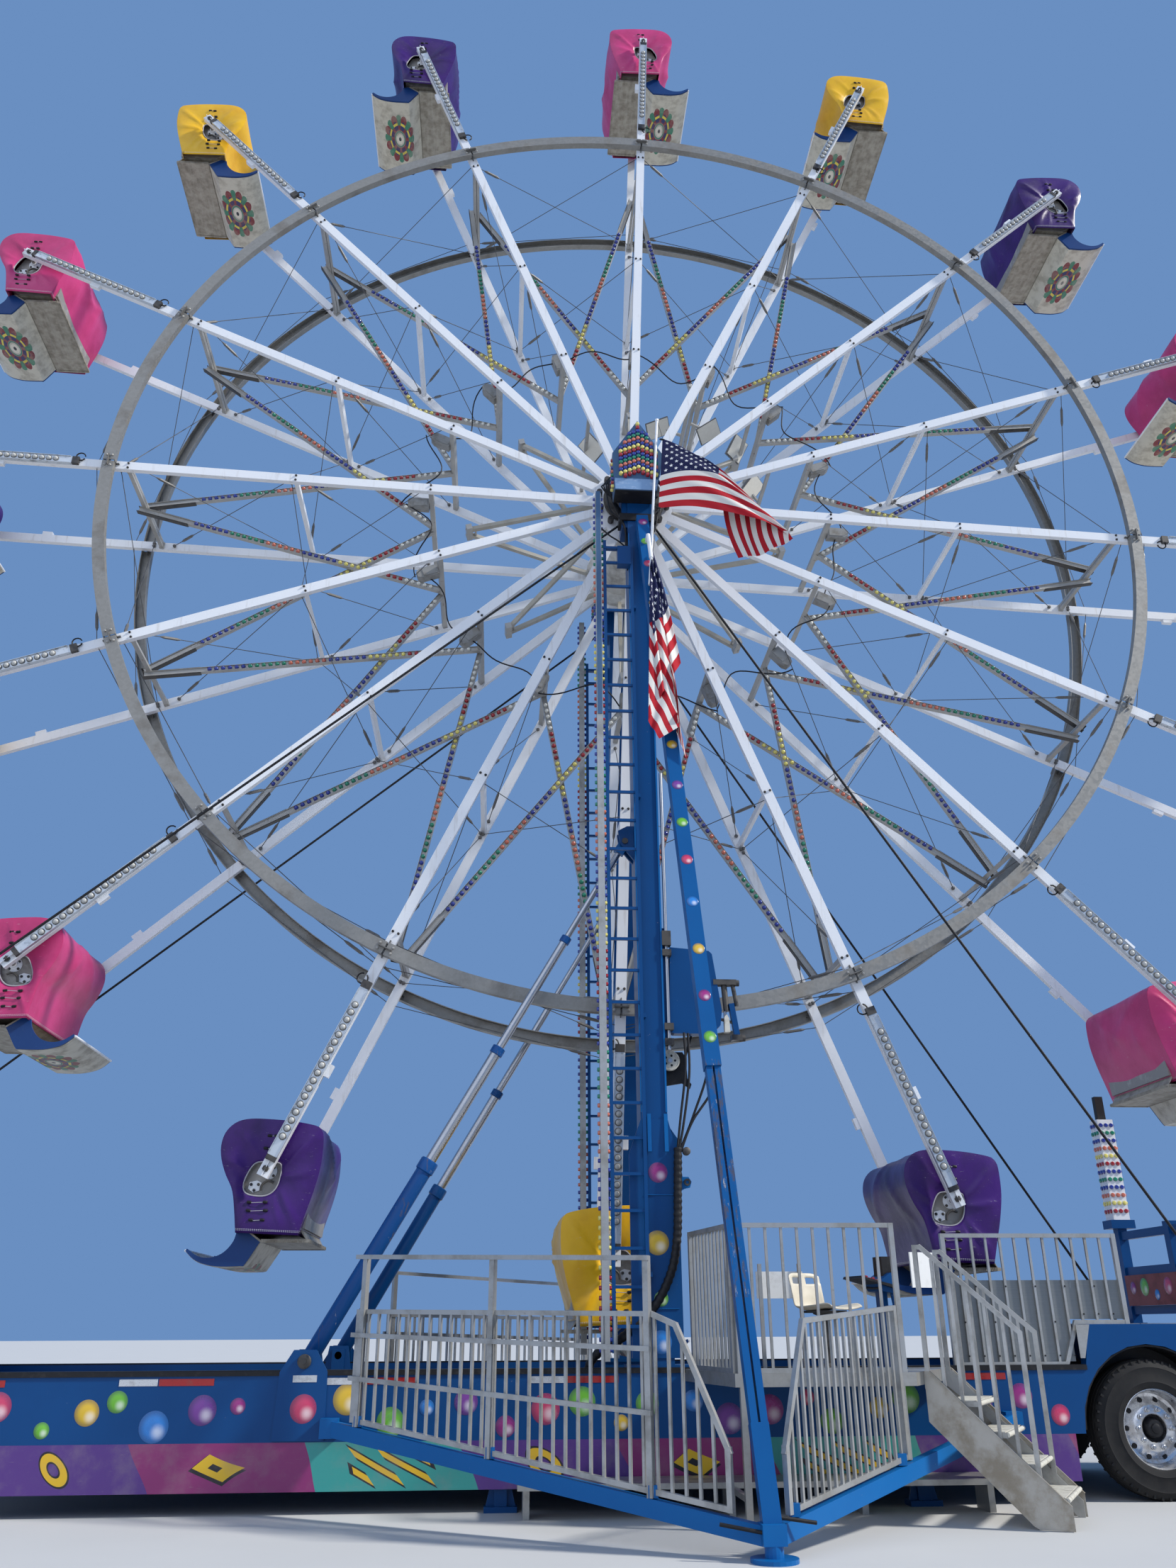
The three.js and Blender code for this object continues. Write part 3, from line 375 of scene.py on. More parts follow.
class Finish:
    """A material's nodes. `place` is the point on the object, in metres."""

    def __init__(self, name):
        self.material = bpy.data.materials.new(name)
        self.material.use_nodes = True
        self.tree = self.material.node_tree
        self.tree.nodes.clear()
        self.place = self.node("ShaderNodeTexCoord", out="Object")

    def node(self, kind, settings=None, inputs=(), out=0, **sockets):
        """Adds a node: first its settings, then the values or wires of its sockets, by number or by name."""
        made = self.tree.nodes.new(kind)
        for key, value in (settings or {}).items():
            setattr(made, key, value)
        named = [(key.replace("_", " "), value) for key, value in sockets.items()]
        for key, value in [*enumerate(inputs), *named]:
            self.feed(made.inputs[key], value)
        return Wire(self, made.outputs[out])

    def feed(self, socket, value):
        if isinstance(value, Wire):
            self.tree.links.new(value.socket, socket)
        elif value is not None:
            socket.default_value = (*value, 1) if socket.type == "RGBA" else value

    def axes(self, vector=None):
        """The three numbers of a vector."""
        made = self.node("ShaderNodeSeparateXYZ", inputs=[vector or self.place])
        return made, *(Wire(self, made.socket.node.outputs[n]) for n in (1, 2))

    def noise(self, scale, detail=3, roughness=0.55, vector=None):
        return self.node("ShaderNodeTexNoise", None, out="Fac", Vector=vector or self.place, Scale=scale,
                         Detail=detail, Roughness=roughness)

    def stretched(self, x, y, z):
        """The place with each axis scaled, so that a noise on it runs in streaks."""
        return self.node("ShaderNodeMapping", inputs=[self.place, (0, 0, 0), (0, 0, 0), (x, y, z)])

    def mix(self, factor, below, above):
        """A colour that goes from below to above with the factor."""
        made = self.node("ShaderNodeMix", {"data_type": "RGBA"}, out=2)
        for key, value in ((0, factor), (6, below), (7, above)):
            self.feed(made.socket.node.inputs[key], value)
        return made

    def done(self, colour, roughness=0.5, metallic=0.0, height=None, strength=0.3, depth=0.002, **fixed):
        """Ends in a Principled shader. `height` goes through a Bump node, and `fixed` holds plain numbers."""
        shader = self.node("ShaderNodeBsdfPrincipled", Base_Color=colour, Roughness=roughness,
                           Metallic=metallic, **fixed)
        if height is not None:
            bump = self.node("ShaderNodeBump", None, Strength=strength, Distance=depth, Height=height)
            self.feed(shader.socket.node.inputs["Normal"], bump)
        self.feed(self.tree.nodes.new("ShaderNodeOutputMaterial").inputs["Surface"], shader)
        return self.material


# Finishes
DIRT = (0.13, 0.10, 0.07)


def layer(noise, tone, share=1.0, band=None, stretch=None, rough=0.0, metal=0.0):
    """One layer of a finish. Its mask is a noise (scale, detail, roughness) on the place as stretched, faded
    in over the band. It lays on its share of the tone, and adds mask * rough and mask * metal."""
    return noise, tone, share, band, stretch, rough, metal


def layered(name, colour, *layers, rough=0.5, metal=0.0, grain=None, stretch=None, bump=(), **settings):
    """A finish in layers over one colour. Its height is the grain noise, or else the sum of mask * bump."""
    f = Finish(name)
    height = f.noise(*grain, vector=stretch and f.stretched(*stretch)) if grain else None
    masks = []
    for noise, tone, share, band, pull, dull, shine in layers:
        mask = f.noise(*noise, vector=pull and f.stretched(*pull))
        mask = mask.smooth(*band) if band else mask
        colour = f.mix(mask * share, colour, tone)
        rough = rough + mask * dull if dull else rough
        metal = metal + mask * shine if shine else metal
        masks.append(mask)
    for mask, weight in zip(masks, bump):
        height = mask * weight + (height or 0)
    return f.done(colour, roughness=rough, metallic=metal, height=height, **settings)


def galvanised():
    """Dull zinc: crystals of slightly different greys, with brown stain in patches."""
    f = Finish("galvanised")
    crystals = f.node("ShaderNodeTexVoronoi", {"feature": "F1"}, out="Color", Vector=f.place, Scale=34)
    crystal = f.node("ShaderNodeSeparateColor", inputs=[crystals])
    stain = f.noise(2.6, 5, 0.65).smooth(0.48, 0.72)
    tone = f.mix(crystal * 0.35 + 0.2, (0.225, 0.22, 0.20), (0.34, 0.33, 0.31))
    rough = 0.42 + stain * 0.25 + crystal * 0.1
    return f.done(f.mix(stain * 0.45, tone, (0.15, 0.125, 0.10)), roughness=rough, metallic=0.45,
                  height=f.noise(90, 3), strength=0.12)


def plain_gloss(name, colour, shade, roughness=0.22, scale=30.0, coat=0.0):
    """One colour that drifts to a darker shade in soft patches."""
    return layered(name, colour, layer((scale, 3), shade, rough=0.12), rough=roughness, Coat_Weight=coat)


def gloss_blue(name, colour, shade):
    """Brushed enamel: soft patches, fine scratches and chips down to primer."""
    return layered(name, colour, layer((1.6, 4, 0.6), shade, rough=0.12),
                   layer((20, 6, 0.75), (0.20, 0.32, 0.50), 0.25, (0.64, 0.72), (5, 5, 0.6), rough=0.2),
                   layer((30, 4, 0.7), (0.40, 0.40, 0.39), 0.7, (0.70, 0.76)),
                   rough=0.30, bump=(1, 0, -0.6), strength=0.1, Specular_IOR_Level=0.22)


def aluminium(name, colour, shade, scale=1.0):
    """Mill-finish aluminium: long draw lines, dull oxide in patches and dark marks at the welds."""
    return layered(name, colour, layer((3.5, 5, 0.65), shade, 1, (0.4, 0.7), rough=0.2),
                   layer((13, 5, 0.7), (0.16, 0.14, 0.12), 0.5, (0.64, 0.78), rough=0.2),
                   rough=0.34, metal=0.65, grain=(30 * scale, 3, 0.6), stretch=(3, 3, 0.15), strength=0.12)


ZINC = galvanised()
# Gloss white over steel, with brown streaks that run down and a fine orange peel
WHITE = layered("white_paint", (0.74, 0.76, 0.79), layer((1.2, 2), (0.84, 0.85, 0.86)),
                layer((3.0, 5, 0.6), (0.36, 0.31, 0.25), 0.34, (0.56, 0.76), (6, 6, 0.7), rough=0.25),
                layer((38, 4, 0.7), DIRT, 0.6, (0.66, 0.78)),
                rough=0.34, grain=(260, 2), strength=0.12, depth=0.0006)
# Weathered grey sheet metal with rust at the specks
STRIP = layered("strip_metal", (0.30, 0.29, 0.27), layer((3, 3), (0.50, 0.49, 0.46)),
                layer((22, 5, 0.7), (0.20, 0.11, 0.06), 0.7, (0.6, 0.74), rough=0.3),
                rough=0.5, metal=0.35, grain=(140, 3), strength=0.15)
# Bare dark steel, oily in patches
DARK = layered("dark_steel", (0.085, 0.078, 0.07),
               layer((7, 4, 0.6), (0.025, 0.025, 0.028), 1, (0.42, 0.66), rough=-0.3),
               rough=0.6, metal=0.4, grain=(120, 3), strength=0.2)
# Black rubber or greased wire, with grey dust
CABLE = layered("cable_black", (0.010, 0.010, 0.012),
                layer((18, 4, 0.65), (0.06, 0.057, 0.054), 0.4, (0.5, 0.75), rough=0.3),
                rough=0.5, grain=(200, 2), strength=0.2, Specular_IOR_Level=0.3)
# Zinc sheet with a cold sheen and dark grime round the fixings
LED_SHEET = layered("led_sheet", (0.45, 0.50, 0.55), layer((5, 2), (0.62, 0.66, 0.70)),
                    layer((14, 5, 0.65), (0.12, 0.12, 0.12), 0.6, (0.5, 0.72), rough=0.3),
                    rough=0.35, metal=0.5, grain=(150, 2), strength=0.1)
# Cast grey enclosures, dusty and scuffed
JUNCTION_GREY = layered("junction_grey", (0.27, 0.27, 0.26),
                        layer((9, 5, 0.6), (0.16, 0.14, 0.11), 0.7, (0.42, 0.7), rough=0.2),
                        rough=0.55, grain=(80, 3), strength=0.2)
# Cream enamel on the hub, with oil and brown dust in broad patches
HUB_CREAM = layered("cream_hub", (0.60, 0.59, 0.55),
                    layer((2.6, 5, 0.65), (0.13, 0.11, 0.09), 0.7, (0.42, 0.66), rough=0.2),
                    rough=0.45, grain=(60, 3), strength=0.15)
# Grey-brown primer, rubbed to metal in places
TUB = layered("tub_steel", (0.30, 0.28, 0.255), layer((11, 5, 0.65), (0.42, 0.40, 0.37), 1, (0.5, 0.7)),
              rough=0.5, metal=0.25, grain=(60, 4), strength=0.2)
# Bare aluminium tread plate gone brown, with streaks and a soft mottle
PAN = layered("pan_steel", (0.22, 0.19, 0.145), layer((12, 5, 0.62), (0.40, 0.36, 0.29), 1, (0.3, 0.7)),
              layer((4, 5, 0.6), (0.47, 0.44, 0.37), 0.4, (0.4, 0.7), (6, 0.8, 6)),
              rough=0.55, metal=0.25, grain=(12, 5, 0.62), strength=0.25, depth=0.003)
# The paler, scratched sheet along the foot of the head panel
HEAD_BAND = layered("head_band_paint", (0.20, 0.33, 0.52),
                    layer((9, 6, 0.75), (0.42, 0.52, 0.66), 1, (0.52, 0.66), (1, 1, 4), rough=0.2),
                    rough=0.35, metal=0.2, bump=(1,), strength=0.15)
# Blue enamel rubbed through along its length to brown primer and bright steel
WORN_BLUE = layered("worn_blue", (0.006, 0.078, 0.27), layer((1.6, 4, 0.6), (0.004, 0.05, 0.19)),
                    layer((5, 6, 0.7), (0.12, 0.085, 0.06), 0.75, (0.60, 0.68), (3, 3, 0.35), rough=0.25),
                    layer((9, 5, 0.7), (0.45, 0.44, 0.42), 0.8, (0.66, 0.72), (3, 3, 0.5)),
                    rough=0.34, bump=(1, -1), strength=0.15, Specular_IOR_Level=0.25)
# Chromed rod with a faint film of oil
CHROME = layered("chromed_rod", (0.50, 0.51, 0.53), layer((8, 4, 0.6), (0.38, 0.39, 0.41), rough=0.14),
                 rough=0.24, metal=1.0)
# Cream paint with grime
CREAM = layered("cream_paint", (0.62, 0.60, 0.52),
                layer((16, 4, 0.6), (0.28, 0.25, 0.20), 0.6, (0.45, 0.7), rough=0.2), rough=0.45)
# Polished alloy with road film that gathers in patches
POLISHED = layered("polished_alloy", (0.66, 0.67, 0.69),
                   layer((11, 5, 0.65), (0.20, 0.17, 0.14), 0.7, (0.42, 0.72), rough=0.35, metal=-0.4),
                   rough=0.24, metal=1.0, grain=(40, 2, 0.5), strength=0.05)
# Dusty tyre rubber
RUBBER = layered("tyre_rubber", (0.010, 0.010, 0.011),
                 layer((9, 5, 0.6), (0.05, 0.047, 0.043), 0.4, (0.35, 0.75), rough=0.2),
                 rough=0.7, grain=(160, 2), strength=0.15, Specular_IOR_Level=0.3)
# Matt moulded plastic, yellowed and dusty
MOULDED = layered("moulded_cream", (0.66, 0.61, 0.50),
                  layer((4, 4), (0.50, 0.45, 0.35), 1, (0.35, 0.7), rough=0.15),
                  rough=0.5, grain=(220, 2), strength=0.15)
# Dark red enamel, chalky and scraped
RED_BOARD = layered("red_board", (0.22, 0.022, 0.018),
                    layer((5, 5, 0.65), (0.14, 0.03, 0.025), 1, (0.4, 0.7), rough=0.2),
                    layer((20, 5, 0.7), (0.30, 0.22, 0.20), 0.5, (0.64, 0.74), (1, 0.4, 3)),
                    rough=0.45, bump=(0, 1), strength=0.1)
# Thin grey sheet, brushed across, with faint handling marks
SHEET_GREY = layered("sheet_grey", (0.17, 0.185, 0.19),
                     layer((22, 3, 0.6), (0.23, 0.24, 0.24), stretch=(0.15, 1, 4)),
                     layer((9, 5, 0.7), (0.45, 0.46, 0.46), 0.4, (0.60, 0.72), (1, 1, 0.4), rough=0.2),
                     rough=0.32, metal=0.4, bump=(1,), strength=0.06)
# Bare aluminium plate with brown dirt in clouds and bright rubbed patches
STAIR_METAL = layered("stair_metal", (0.42, 0.40, 0.36),
                      layer((4, 6, 0.65), (0.30, 0.26, 0.20), 1, (0.38, 0.66), rough=0.25),
                      layer((7, 5, 0.7), (0.55, 0.52, 0.46), 0.4, (0.55, 0.75)),
                      rough=0.36, metal=0.6, grain=(60, 4), strength=0.12)
# White sheet with handling marks
BOARD_WHITE = layered("board_white", (0.78, 0.78, 0.76),
                      layer((8, 6, 0.7), (0.45, 0.42, 0.38), 0.5, (0.5, 0.72), rough=0.2), rough=0.4)
TOWER_BLUE = gloss_blue("tower_blue", (0.003, 0.066, 0.225), (0.002, 0.046, 0.16))
FRAME_BLUE = gloss_blue("frame_blue", (0.004, 0.130, 0.38), (0.003, 0.095, 0.30))
PANEL_BLUE = gloss_blue("panel_blue", (0.075, 0.15, 0.27), (0.05, 0.11, 0.21))
FLANGE = gloss_blue("flange_blue", (0.012, 0.055, 0.20), (0.008, 0.035, 0.13))
ALLOY = aluminium("aluminium", (0.46, 0.46, 0.445), (0.30, 0.295, 0.275))
DECKING = aluminium("decking", (0.44, 0.43, 0.40), (0.30, 0.285, 0.255), 0.6)
PIPING = plain_gloss("piping_grey", (0.45, 0.44, 0.46), (0.30, 0.29, 0.31), 0.5)
GREY_STEEL = plain_gloss("grey_steel", (0.17, 0.165, 0.155), (0.09, 0.085, 0.08), 0.45)
WIRE_ROPE = plain_gloss("wire_rope", (0.10, 0.10, 0.10), (0.05, 0.05, 0.05), 0.5)
BULB_COLOURS = {
    "blue": ((0.02, 0.05, 0.36), (0.01, 0.02, 0.20)),
    "green": ((0.01, 0.27, 0.15), (0.005, 0.15, 0.09)),
    "salmon": ((0.68, 0.20, 0.12), (0.48, 0.11, 0.07)),
    "yellow": ((0.85, 0.76, 0.22), (0.68, 0.58, 0.12)),
    "red": ((0.42, 0.012, 0.02), (0.24, 0.008, 0.012)),
    "white": ((0.82, 0.81, 0.74), (0.66, 0.65, 0.58)),
}
BULBS = {name: plain_gloss(f"bulb_{name}", *pair, roughness=0.12, coat=0.6)
         for name, pair in BULB_COLOURS.items()}


# Places on the wheel
def on_wheel(radius, angle, y):
    """Points on the wheel at rest, by radius, angle clockwise from the first spoke, and y."""
    radius, angle, y = np.broadcast_arrays(*(np.asarray(v, float) for v in (radius, angle, y)))
    turn = angle + REST_ANGLE
    return np.stack([radius * np.sin(turn), y, HUB_Z + radius * np.cos(turn)], -1)


def outwards(angle):
    """The way out along a spoke."""
    return on_wheel(1, angle, 0) - (0, 0, HUB_Z)


def clockwise(angle):
    """The way round the wheel at a spoke."""
    return outwards(np.asarray(angle) + math.pi / 2)


SPOKES = STEP * np.arange(SEATS)
BULB = turned([(0.0245, 0), (0.0245, 0.006), (0.021, 0.018), (0.013, 0.027), (0, 0.031)], 10)
BOLT = turned([(0.014, 0), (0.014, 0.009), (0.011, 0.012), (0.007, 0.012), (0.007, 0.018), (0, 0.019)], 6)


def rim(side):
    """One rim: sixteen channel arcs, open towards the spokes. A section point (depth, height) goes to the
    radius RIM_R + height at y = side * (STAR_OUT + depth), and sweeps round from one spoke to the next."""
    high, deep, skin, gap = 0.065, 0.08, 0.008, 0.0016
    section = np.array([[0, -high], [deep, -high], [deep, high], [0, high], [0, high - skin],
                        [deep - skin, high - skin], [deep - skin, skin - high], [0, skin - high]])
    radius, depth = RIM_R + section[None, :, 1], side * (STAR_OUT + 0.0005 + section[None, :, 0])
    turns = [np.linspace(start + gap, start + STEP - gap, 15)[:, None] for start in SPOKES]
    return together(*(lofted(on_wheel(radius, angle, depth)) for angle in turns))


def rim_joints(side):
    """At each spoke a splice plate inside the channel, with an angle clip across it."""
    web = side * (STAR_OUT + 0.071)
    across = clockwise(SPOKES)
    plates = bars(rectangle(0.09, 0.01), on_wheel(RIM_R, SPOKES, web) - 0.07 * across,
                  on_wheel(RIM_R, SPOKES, web) + 0.07 * across, (0, 1, 0))
    clips = bars(rectangle(0.045, 0.010), on_wheel(RIM_R - 0.105, SPOKES, side * 0.815),
                 on_wheel(RIM_R + 0.085, SPOKES, side * 0.815), (0, 1, 0))
    return together(plates, clips)


def rim_bolts(side):
    """Two bolts on each side of every joint, with their heads on the outer face of the web."""
    face = side * (STAR_OUT + 0.0805)
    places = [on_wheel(RIM_R + r, SPOKES + turn / RIM_R, face) for r in (-0.03, 0.03)
              for turn in (-0.07, 0.07)]
    return BOLT.placed(frames_at(np.concatenate(places), (0, side, 0), (0, 0, 1)))


def light_strips():
    """Start and end of the 32 strips, and the way round that each one turns."""
    angle = np.concatenate([SPOKES, SPOKES])
    turn = np.repeat([-1.0, 1.0], SEATS)
    starts = on_wheel(5.86, angle + turn * 0.052 / 5.8, turn * 0.045)
    ends = on_wheel(2.36, angle + turn * STEP, turn * 0.045)
    return starts, ends


STRIP_GROUPS = [("blue", 6), ("green", 6), ("salmon", 6), ("blue", 6), ("yellow", 6), ("red", 5),
                ("white", 5)]


def bulbs_in_rows(starts, ends, groups, first, last, up):
    """Bulb frames by colour: the groups follow each other at one pitch from the share `first` to `last`."""
    names = [name for name, count in groups for _ in range(count)]
    share = np.linspace(first, last, len(names))
    places = starts[:, None] + share[None, :, None] * (ends - starts)[:, None]
    found = {}
    for name in BULBS:
        chosen = places[:, [n == name for n in names]].reshape(-1, 3)
        if len(chosen):
            found[name] = frames_at(chosen, up, (0.3, 0.1, 1))
    return found


def dress_strips():
    """Bulbs in rows of colours on every strip, the flanges along it, and a sleeve at its outer end."""
    starts, ends = light_strips()
    front = np.array([0, -0.023, 0])
    rows = bulbs_in_rows(starts + front, ends + front, STRIP_GROUPS, 0.19, 0.965, (0, -1, 0))
    for name, frames in rows.items():
        piece(f"wheel_bulbs_{name}", BULB.placed(frames), BULBS[name], "wheel", smooth=50)
    along = unit(ends - starts)
    over = np.cross(along, (0, 1, 0))
    flanges = [bars(rectangle(0.016, 0.004), starts + front + s * 0.028 * over + (0, -0.006, 0),
                    ends + front + s * 0.028 * over + (0, -0.006, 0)) for s in BOTH]
    piece("strip_flanges", together(*flanges), STRIP, "wheel")
    sleeve = np.array([[-0.031, -0.037], [0.031, -0.037], [0.031, -0.031], [-0.024, -0.031], [-0.024, 0.031],
                       [0.031, 0.031], [0.031, 0.037], [-0.031, 0.037]])
    sleeves = bars(sleeve * (-1, 1), starts - 0.02 * along, starts + 0.62 * along)
    piece("strip_sleeves", sleeves, DARK, "wheel")


def led_bars():
    """On the outer stretch of each near spoke: a sheet channel with eighteen domes, each in a dark ring."""
    face = -STAR_OUT
    section = np.array([[-0.0, -0.043], [0.034, -0.043], [0.034, 0.043], [0, 0.043]])
    channel = bars(section * (-1, 1), on_wheel(6.42, SPOKES, face), on_wheel(8.13, SPOKES, face))
    low, high = (on_wheel(radius, SPOKES, face - 0.023) for radius in (6.44, 8.11))
    aside = 0.045 * clockwise(SPOKES)
    lips = [bars(rectangle(0.046, 0.004), low + s * aside, high + s * aside) for s in BOTH]
    piece("led_channels", together(channel, *lips), LED_SHEET, "wheel")
    radius = np.repeat(np.linspace(6.60, 7.93, 18)[:, None], SEATS, 1)
    places = on_wheel(radius, SPOKES[None], face - 0.034).reshape(-1, 3)
    frames = frames_at(places, (0, -1, 0), (1, 0, 0.2))
    ring = turned([(0.034, 0), (0.034, 0.005), (0.030, 0.008), (0.026, 0.006), (0.026, 0)], 14)
    dome = turned([(0.027, 0), (0.026, 0.012), (0.020, 0.022), (0.010, 0.027), (0, 0.028)], 12)
    lens = plain_gloss("led_lens", (0.56, 0.56, 0.53), (0.40, 0.40, 0.38), 0.2)
    piece("led_rings", ring.placed(frames), GREY_STEEL, "wheel", smooth=40)
    piece("led_domes", dome.placed(frames), lens, "wheel", smooth=60)
    ends = [bars(rectangle(0.04, 0.092), on_wheel(a, SPOKES, face - 0.02), on_wheel(b, SPOKES, face - 0.02))
            for a, b in ((6.345, 6.42), (8.115, 8.16))]
    piece("led_ends", together(*ends), DARK, "wheel")


def spoke_fittings():
    """Tip bolts, the seat shaft's collars, tabs on the outer stretch, and bolts where the spreaders meet."""
    pieces_white, pieces_dark = [], []
    for side in BOTH:
        tab_angle = SPOKES + side * 0.075 / 7.25
        low, high = (on_wheel(radius, tab_angle, side * 0.78) for radius in (7.18, 7.30))
        tabs = bars(rectangle(0.055, 0.05), low, high)
        ribs = bars(rectangle(0.045, 0.006), on_wheel(TIP_R - 0.2, SPOKES, side * 0.812),
                    on_wheel(TIP_R - 0.002, SPOKES, side * 0.812))
        pieces_white += [tabs, ribs]
        head = turned([(0.031, 0), (0.031, 0.014), (0.026, 0.018), (0.016, 0.018), (0.016, 0.03),
                       (0, 0.031)], 6)
        tips = on_wheel(SEAT_R, SPOKES, side * 0.813)
        pieces_dark.append(head.placed(frames_at(tips, (0, side, 0), (1, 0, 0))))
        for radius in (2.35, 3.9, 5.8, 8.02):
            for shift in (-0.03, 0.03):
                spot = on_wheel(radius, SPOKES + shift / radius, side * 0.811)
                pieces_dark.append(BOLT.placed(frames_at(spot, (0, side, 0), (1, 0, 0))))
    piece("spoke_tabs", together(*pieces_white), WHITE, "wheel")
    piece("spoke_bolts", together(*pieces_dark), DARK, "wheel")


# Stays by radius at both ends, bays from the first end to the second, and y at both ends
STAYS = ((6.16, 6.16, 1, 0.78, 0.78), (5.9, 5.9, 1, 0.745, -0.745), (5.66, 3.99, 0, 0.745, -0.745),
         (3.8, 2.44, 0, 0.745, -0.745), (3.96, 3.96, 1, 0.745, -0.745))


def stay_wires():
    """Taut stays, each a thin rod from end to end with a turnbuckle near one end: chords outside both rims,
    crosses between the two stars in every bay, and crosses in the plane of every spoke pair."""
    starts = np.concatenate([on_wheel(r, SPOKES, side * y) for side in BOTH for r, _, _, y, _ in STAYS])
    ends = np.concatenate([on_wheel(r, SPOKES + bays * STEP, side * y) for side in BOTH
                           for _, r, bays, _, y in STAYS])
    wires = bars(circle(0.0045, 6), starts, ends, (0.31, 0.52, 0.11))
    along = unit(ends - starts)
    span = np.linalg.norm(ends - starts, axis=1)[:, None]
    frames = frames_at(starts + np.minimum(0.3, span * 0.2) * along, along, (0.3, 0.2, 1))
    barrel = turned([(0.007, -0.12), (0.012, -0.1), (0.017, -0.08), (0.017, 0.08), (0.012, 0.1),
                     (0.007, 0.12)], 6)
    eye_ends = [turned([(0.008, 0), (0.022, 0.012), (0.022, 0.03), (0.008, 0.045)], 6).placed(
        frames_at(at, way, (0.3, 0.2, 1))) for at, way in ((starts, along), (ends, -along))]
    piece("stay_wires", wires, WIRE_ROPE, "wheel")
    piece("stay_turnbuckles", together(barrel.placed(frames), *eye_ends), GREY_STEEL, "wheel")


def junction_boxes():
    """A grey box outside each inner spreader, and the black festoon cable that links them in slack bows."""
    outline = [[-0.062, 0], [0.062, 0], [0.062, 0.20], [0.035, 0.25], [-0.035, 0.25], [-0.062, 0.20]]
    box = plate(outline, -0.055, 0.055)
    lid = plate(box_of(-0.05, 0.05, 0.02, 0.18), -0.061, -0.055)
    origins = on_wheel(2.382, SPOKES, -0.47)
    frames = np.stack([clockwise(SPOKES), np.broadcast_to([0.0, 1, 0], origins.shape), outwards(SPOKES),
                       origins], 1)
    piece("junction_boxes", together(box, lid).placed(frames), JUNCTION_GREY, "wheel")
    share = np.linspace(0, 1, 17)
    runs = []
    for start in SPOKES:
        angle = start + STEP * share
        bow = 2.62 - 0.20 * np.sin(math.pi * share) + 0.10 * np.sin(2 * math.pi * share + 3 * start)
        way = -0.47 + 0.16 * np.sin(math.pi * share) * math.sin(5 * start + 1)
        runs.append(tube(on_wheel(bow, angle, way), 0.008, 6))
    piece("festoon_cable", together(*runs), CABLE, "wheel", smooth=60)


def hub_arms():
    """In every second spoke plane a pair of bars runs from both hub flanges to a short cross head, midway."""
    angle = SPOKES[::2]
    parts = []
    for side in BOTH:
        for section, r, y, far_r, far_y in ((rectangle(0.055, 0.045), 0.42, 0.70, 1.90, 0.055),
                                            (rectangle(0.05, 0.012), 1.84, 0.045, 1.96, 0.075)):
            parts.append(bars(section, on_wheel(r, angle, side * y), on_wheel(far_r, angle, side * far_y)))
    worn = plain_gloss("arm_cream", (0.52, 0.50, 0.44), (0.30, 0.27, 0.21), 0.5, 5.0)
    piece("hub_arms", together(*parts), worn, "wheel")
    heads = [bars(section, on_wheel(r, angle, -y), on_wheel(r, angle, y), (1, 0, 0.3))
             for section, r, y in ((rectangle(0.07, 0.07), 1.92, 0.12), (circle(0.012, 8), 1.84, 0.10))]
    piece("hub_arm_heads", together(*heads), STRIP, "wheel")


def floodlights():
    """Five lamps between the stars round the top of the hub: a case, a cream lens and a bar to the spokes."""
    spots = np.array([(-0.40, 1.37), (0.42, 1.74), (1.07, 1.72), (1.42, 1.44), (1.58, 0.84)])
    spots = np.insert(spots, 1, -0.1, axis=1) + (0, 0, HUB_Z)
    facing = unit(np.array([(-0.5, -0.7, -0.6), (0.3, -0.5, -0.8), (0.4, -0.6, -0.7), (0.5, -0.8, -0.4),
                            (0.5, -0.7, -0.5)]))
    rights = unit(np.cross((0, 1, 0.2), facing))
    frames = frames_at(spots, facing, rights)
    back, front = rectangle(0.20, 0.14), rectangle(0.31, 0.23)
    rings = [np.insert(section, 2, z, axis=1) for section, z in ((back, -0.07), (front, 0.03), (front, 0.05))]
    case = together(lofted(np.stack(rings)), plate(front, 0.0495, 0.051, 2), plate(back, -0.071, -0.0695, 2))
    lens = plate(rectangle(0.294, 0.214), 0.051, 0.056, 2)
    piece("floodlight_cases", case.placed(frames), GREY_STEEL, "wheel")
    lamp = plain_gloss("lamp_lens", (0.78, 0.75, 0.66), (0.66, 0.62, 0.53), 0.35)
    piece("floodlight_lenses", lens.placed(frames), lamp, "wheel")
    radius = np.hypot(spots[:, 0], spots[:, 2] - HUB_Z)
    angle = np.arctan2(spots[:, 0], spots[:, 2] - HUB_Z)
    nearest = SPOKES[np.argmin(np.abs(np.angle(np.exp(1j * (SPOKES[None] - angle[:, None])))), axis=1)]
    beams = bars(rectangle(0.04, 0.03), on_wheel(radius, nearest, -0.74), on_wheel(radius, nearest, 0.74),
                 (1, 0, 0.3))
    yokes = bars(rectangle(0.04, 0.02), on_wheel(radius, nearest, -0.1), spots - facing * 0.06, (0, 1, 0))
    piece("floodlight_bars", together(beams, yokes), STRIP, "wheel")


def spoke_loops():
    """A short loop of black lead from the inner end of each lamp channel to the spoke's side."""
    turn = np.linspace(-0.85, 0.95, 12) * np.pi
    parts = []
    for start in SPOKES:
        centre = on_wheel(6.34, start + 0.066 / 6.34, -STAR_OUT - 0.012)
        loop = np.cos(turn)[:, None] * outwards(start) + np.sin(turn)[:, None] * clockwise(start)
        parts.append(tube(centre + 0.052 * loop, 0.0075, 6, (0.1, 1, 0.1)))
    piece("spoke_loops", together(*parts), CABLE, "wheel", smooth=60)


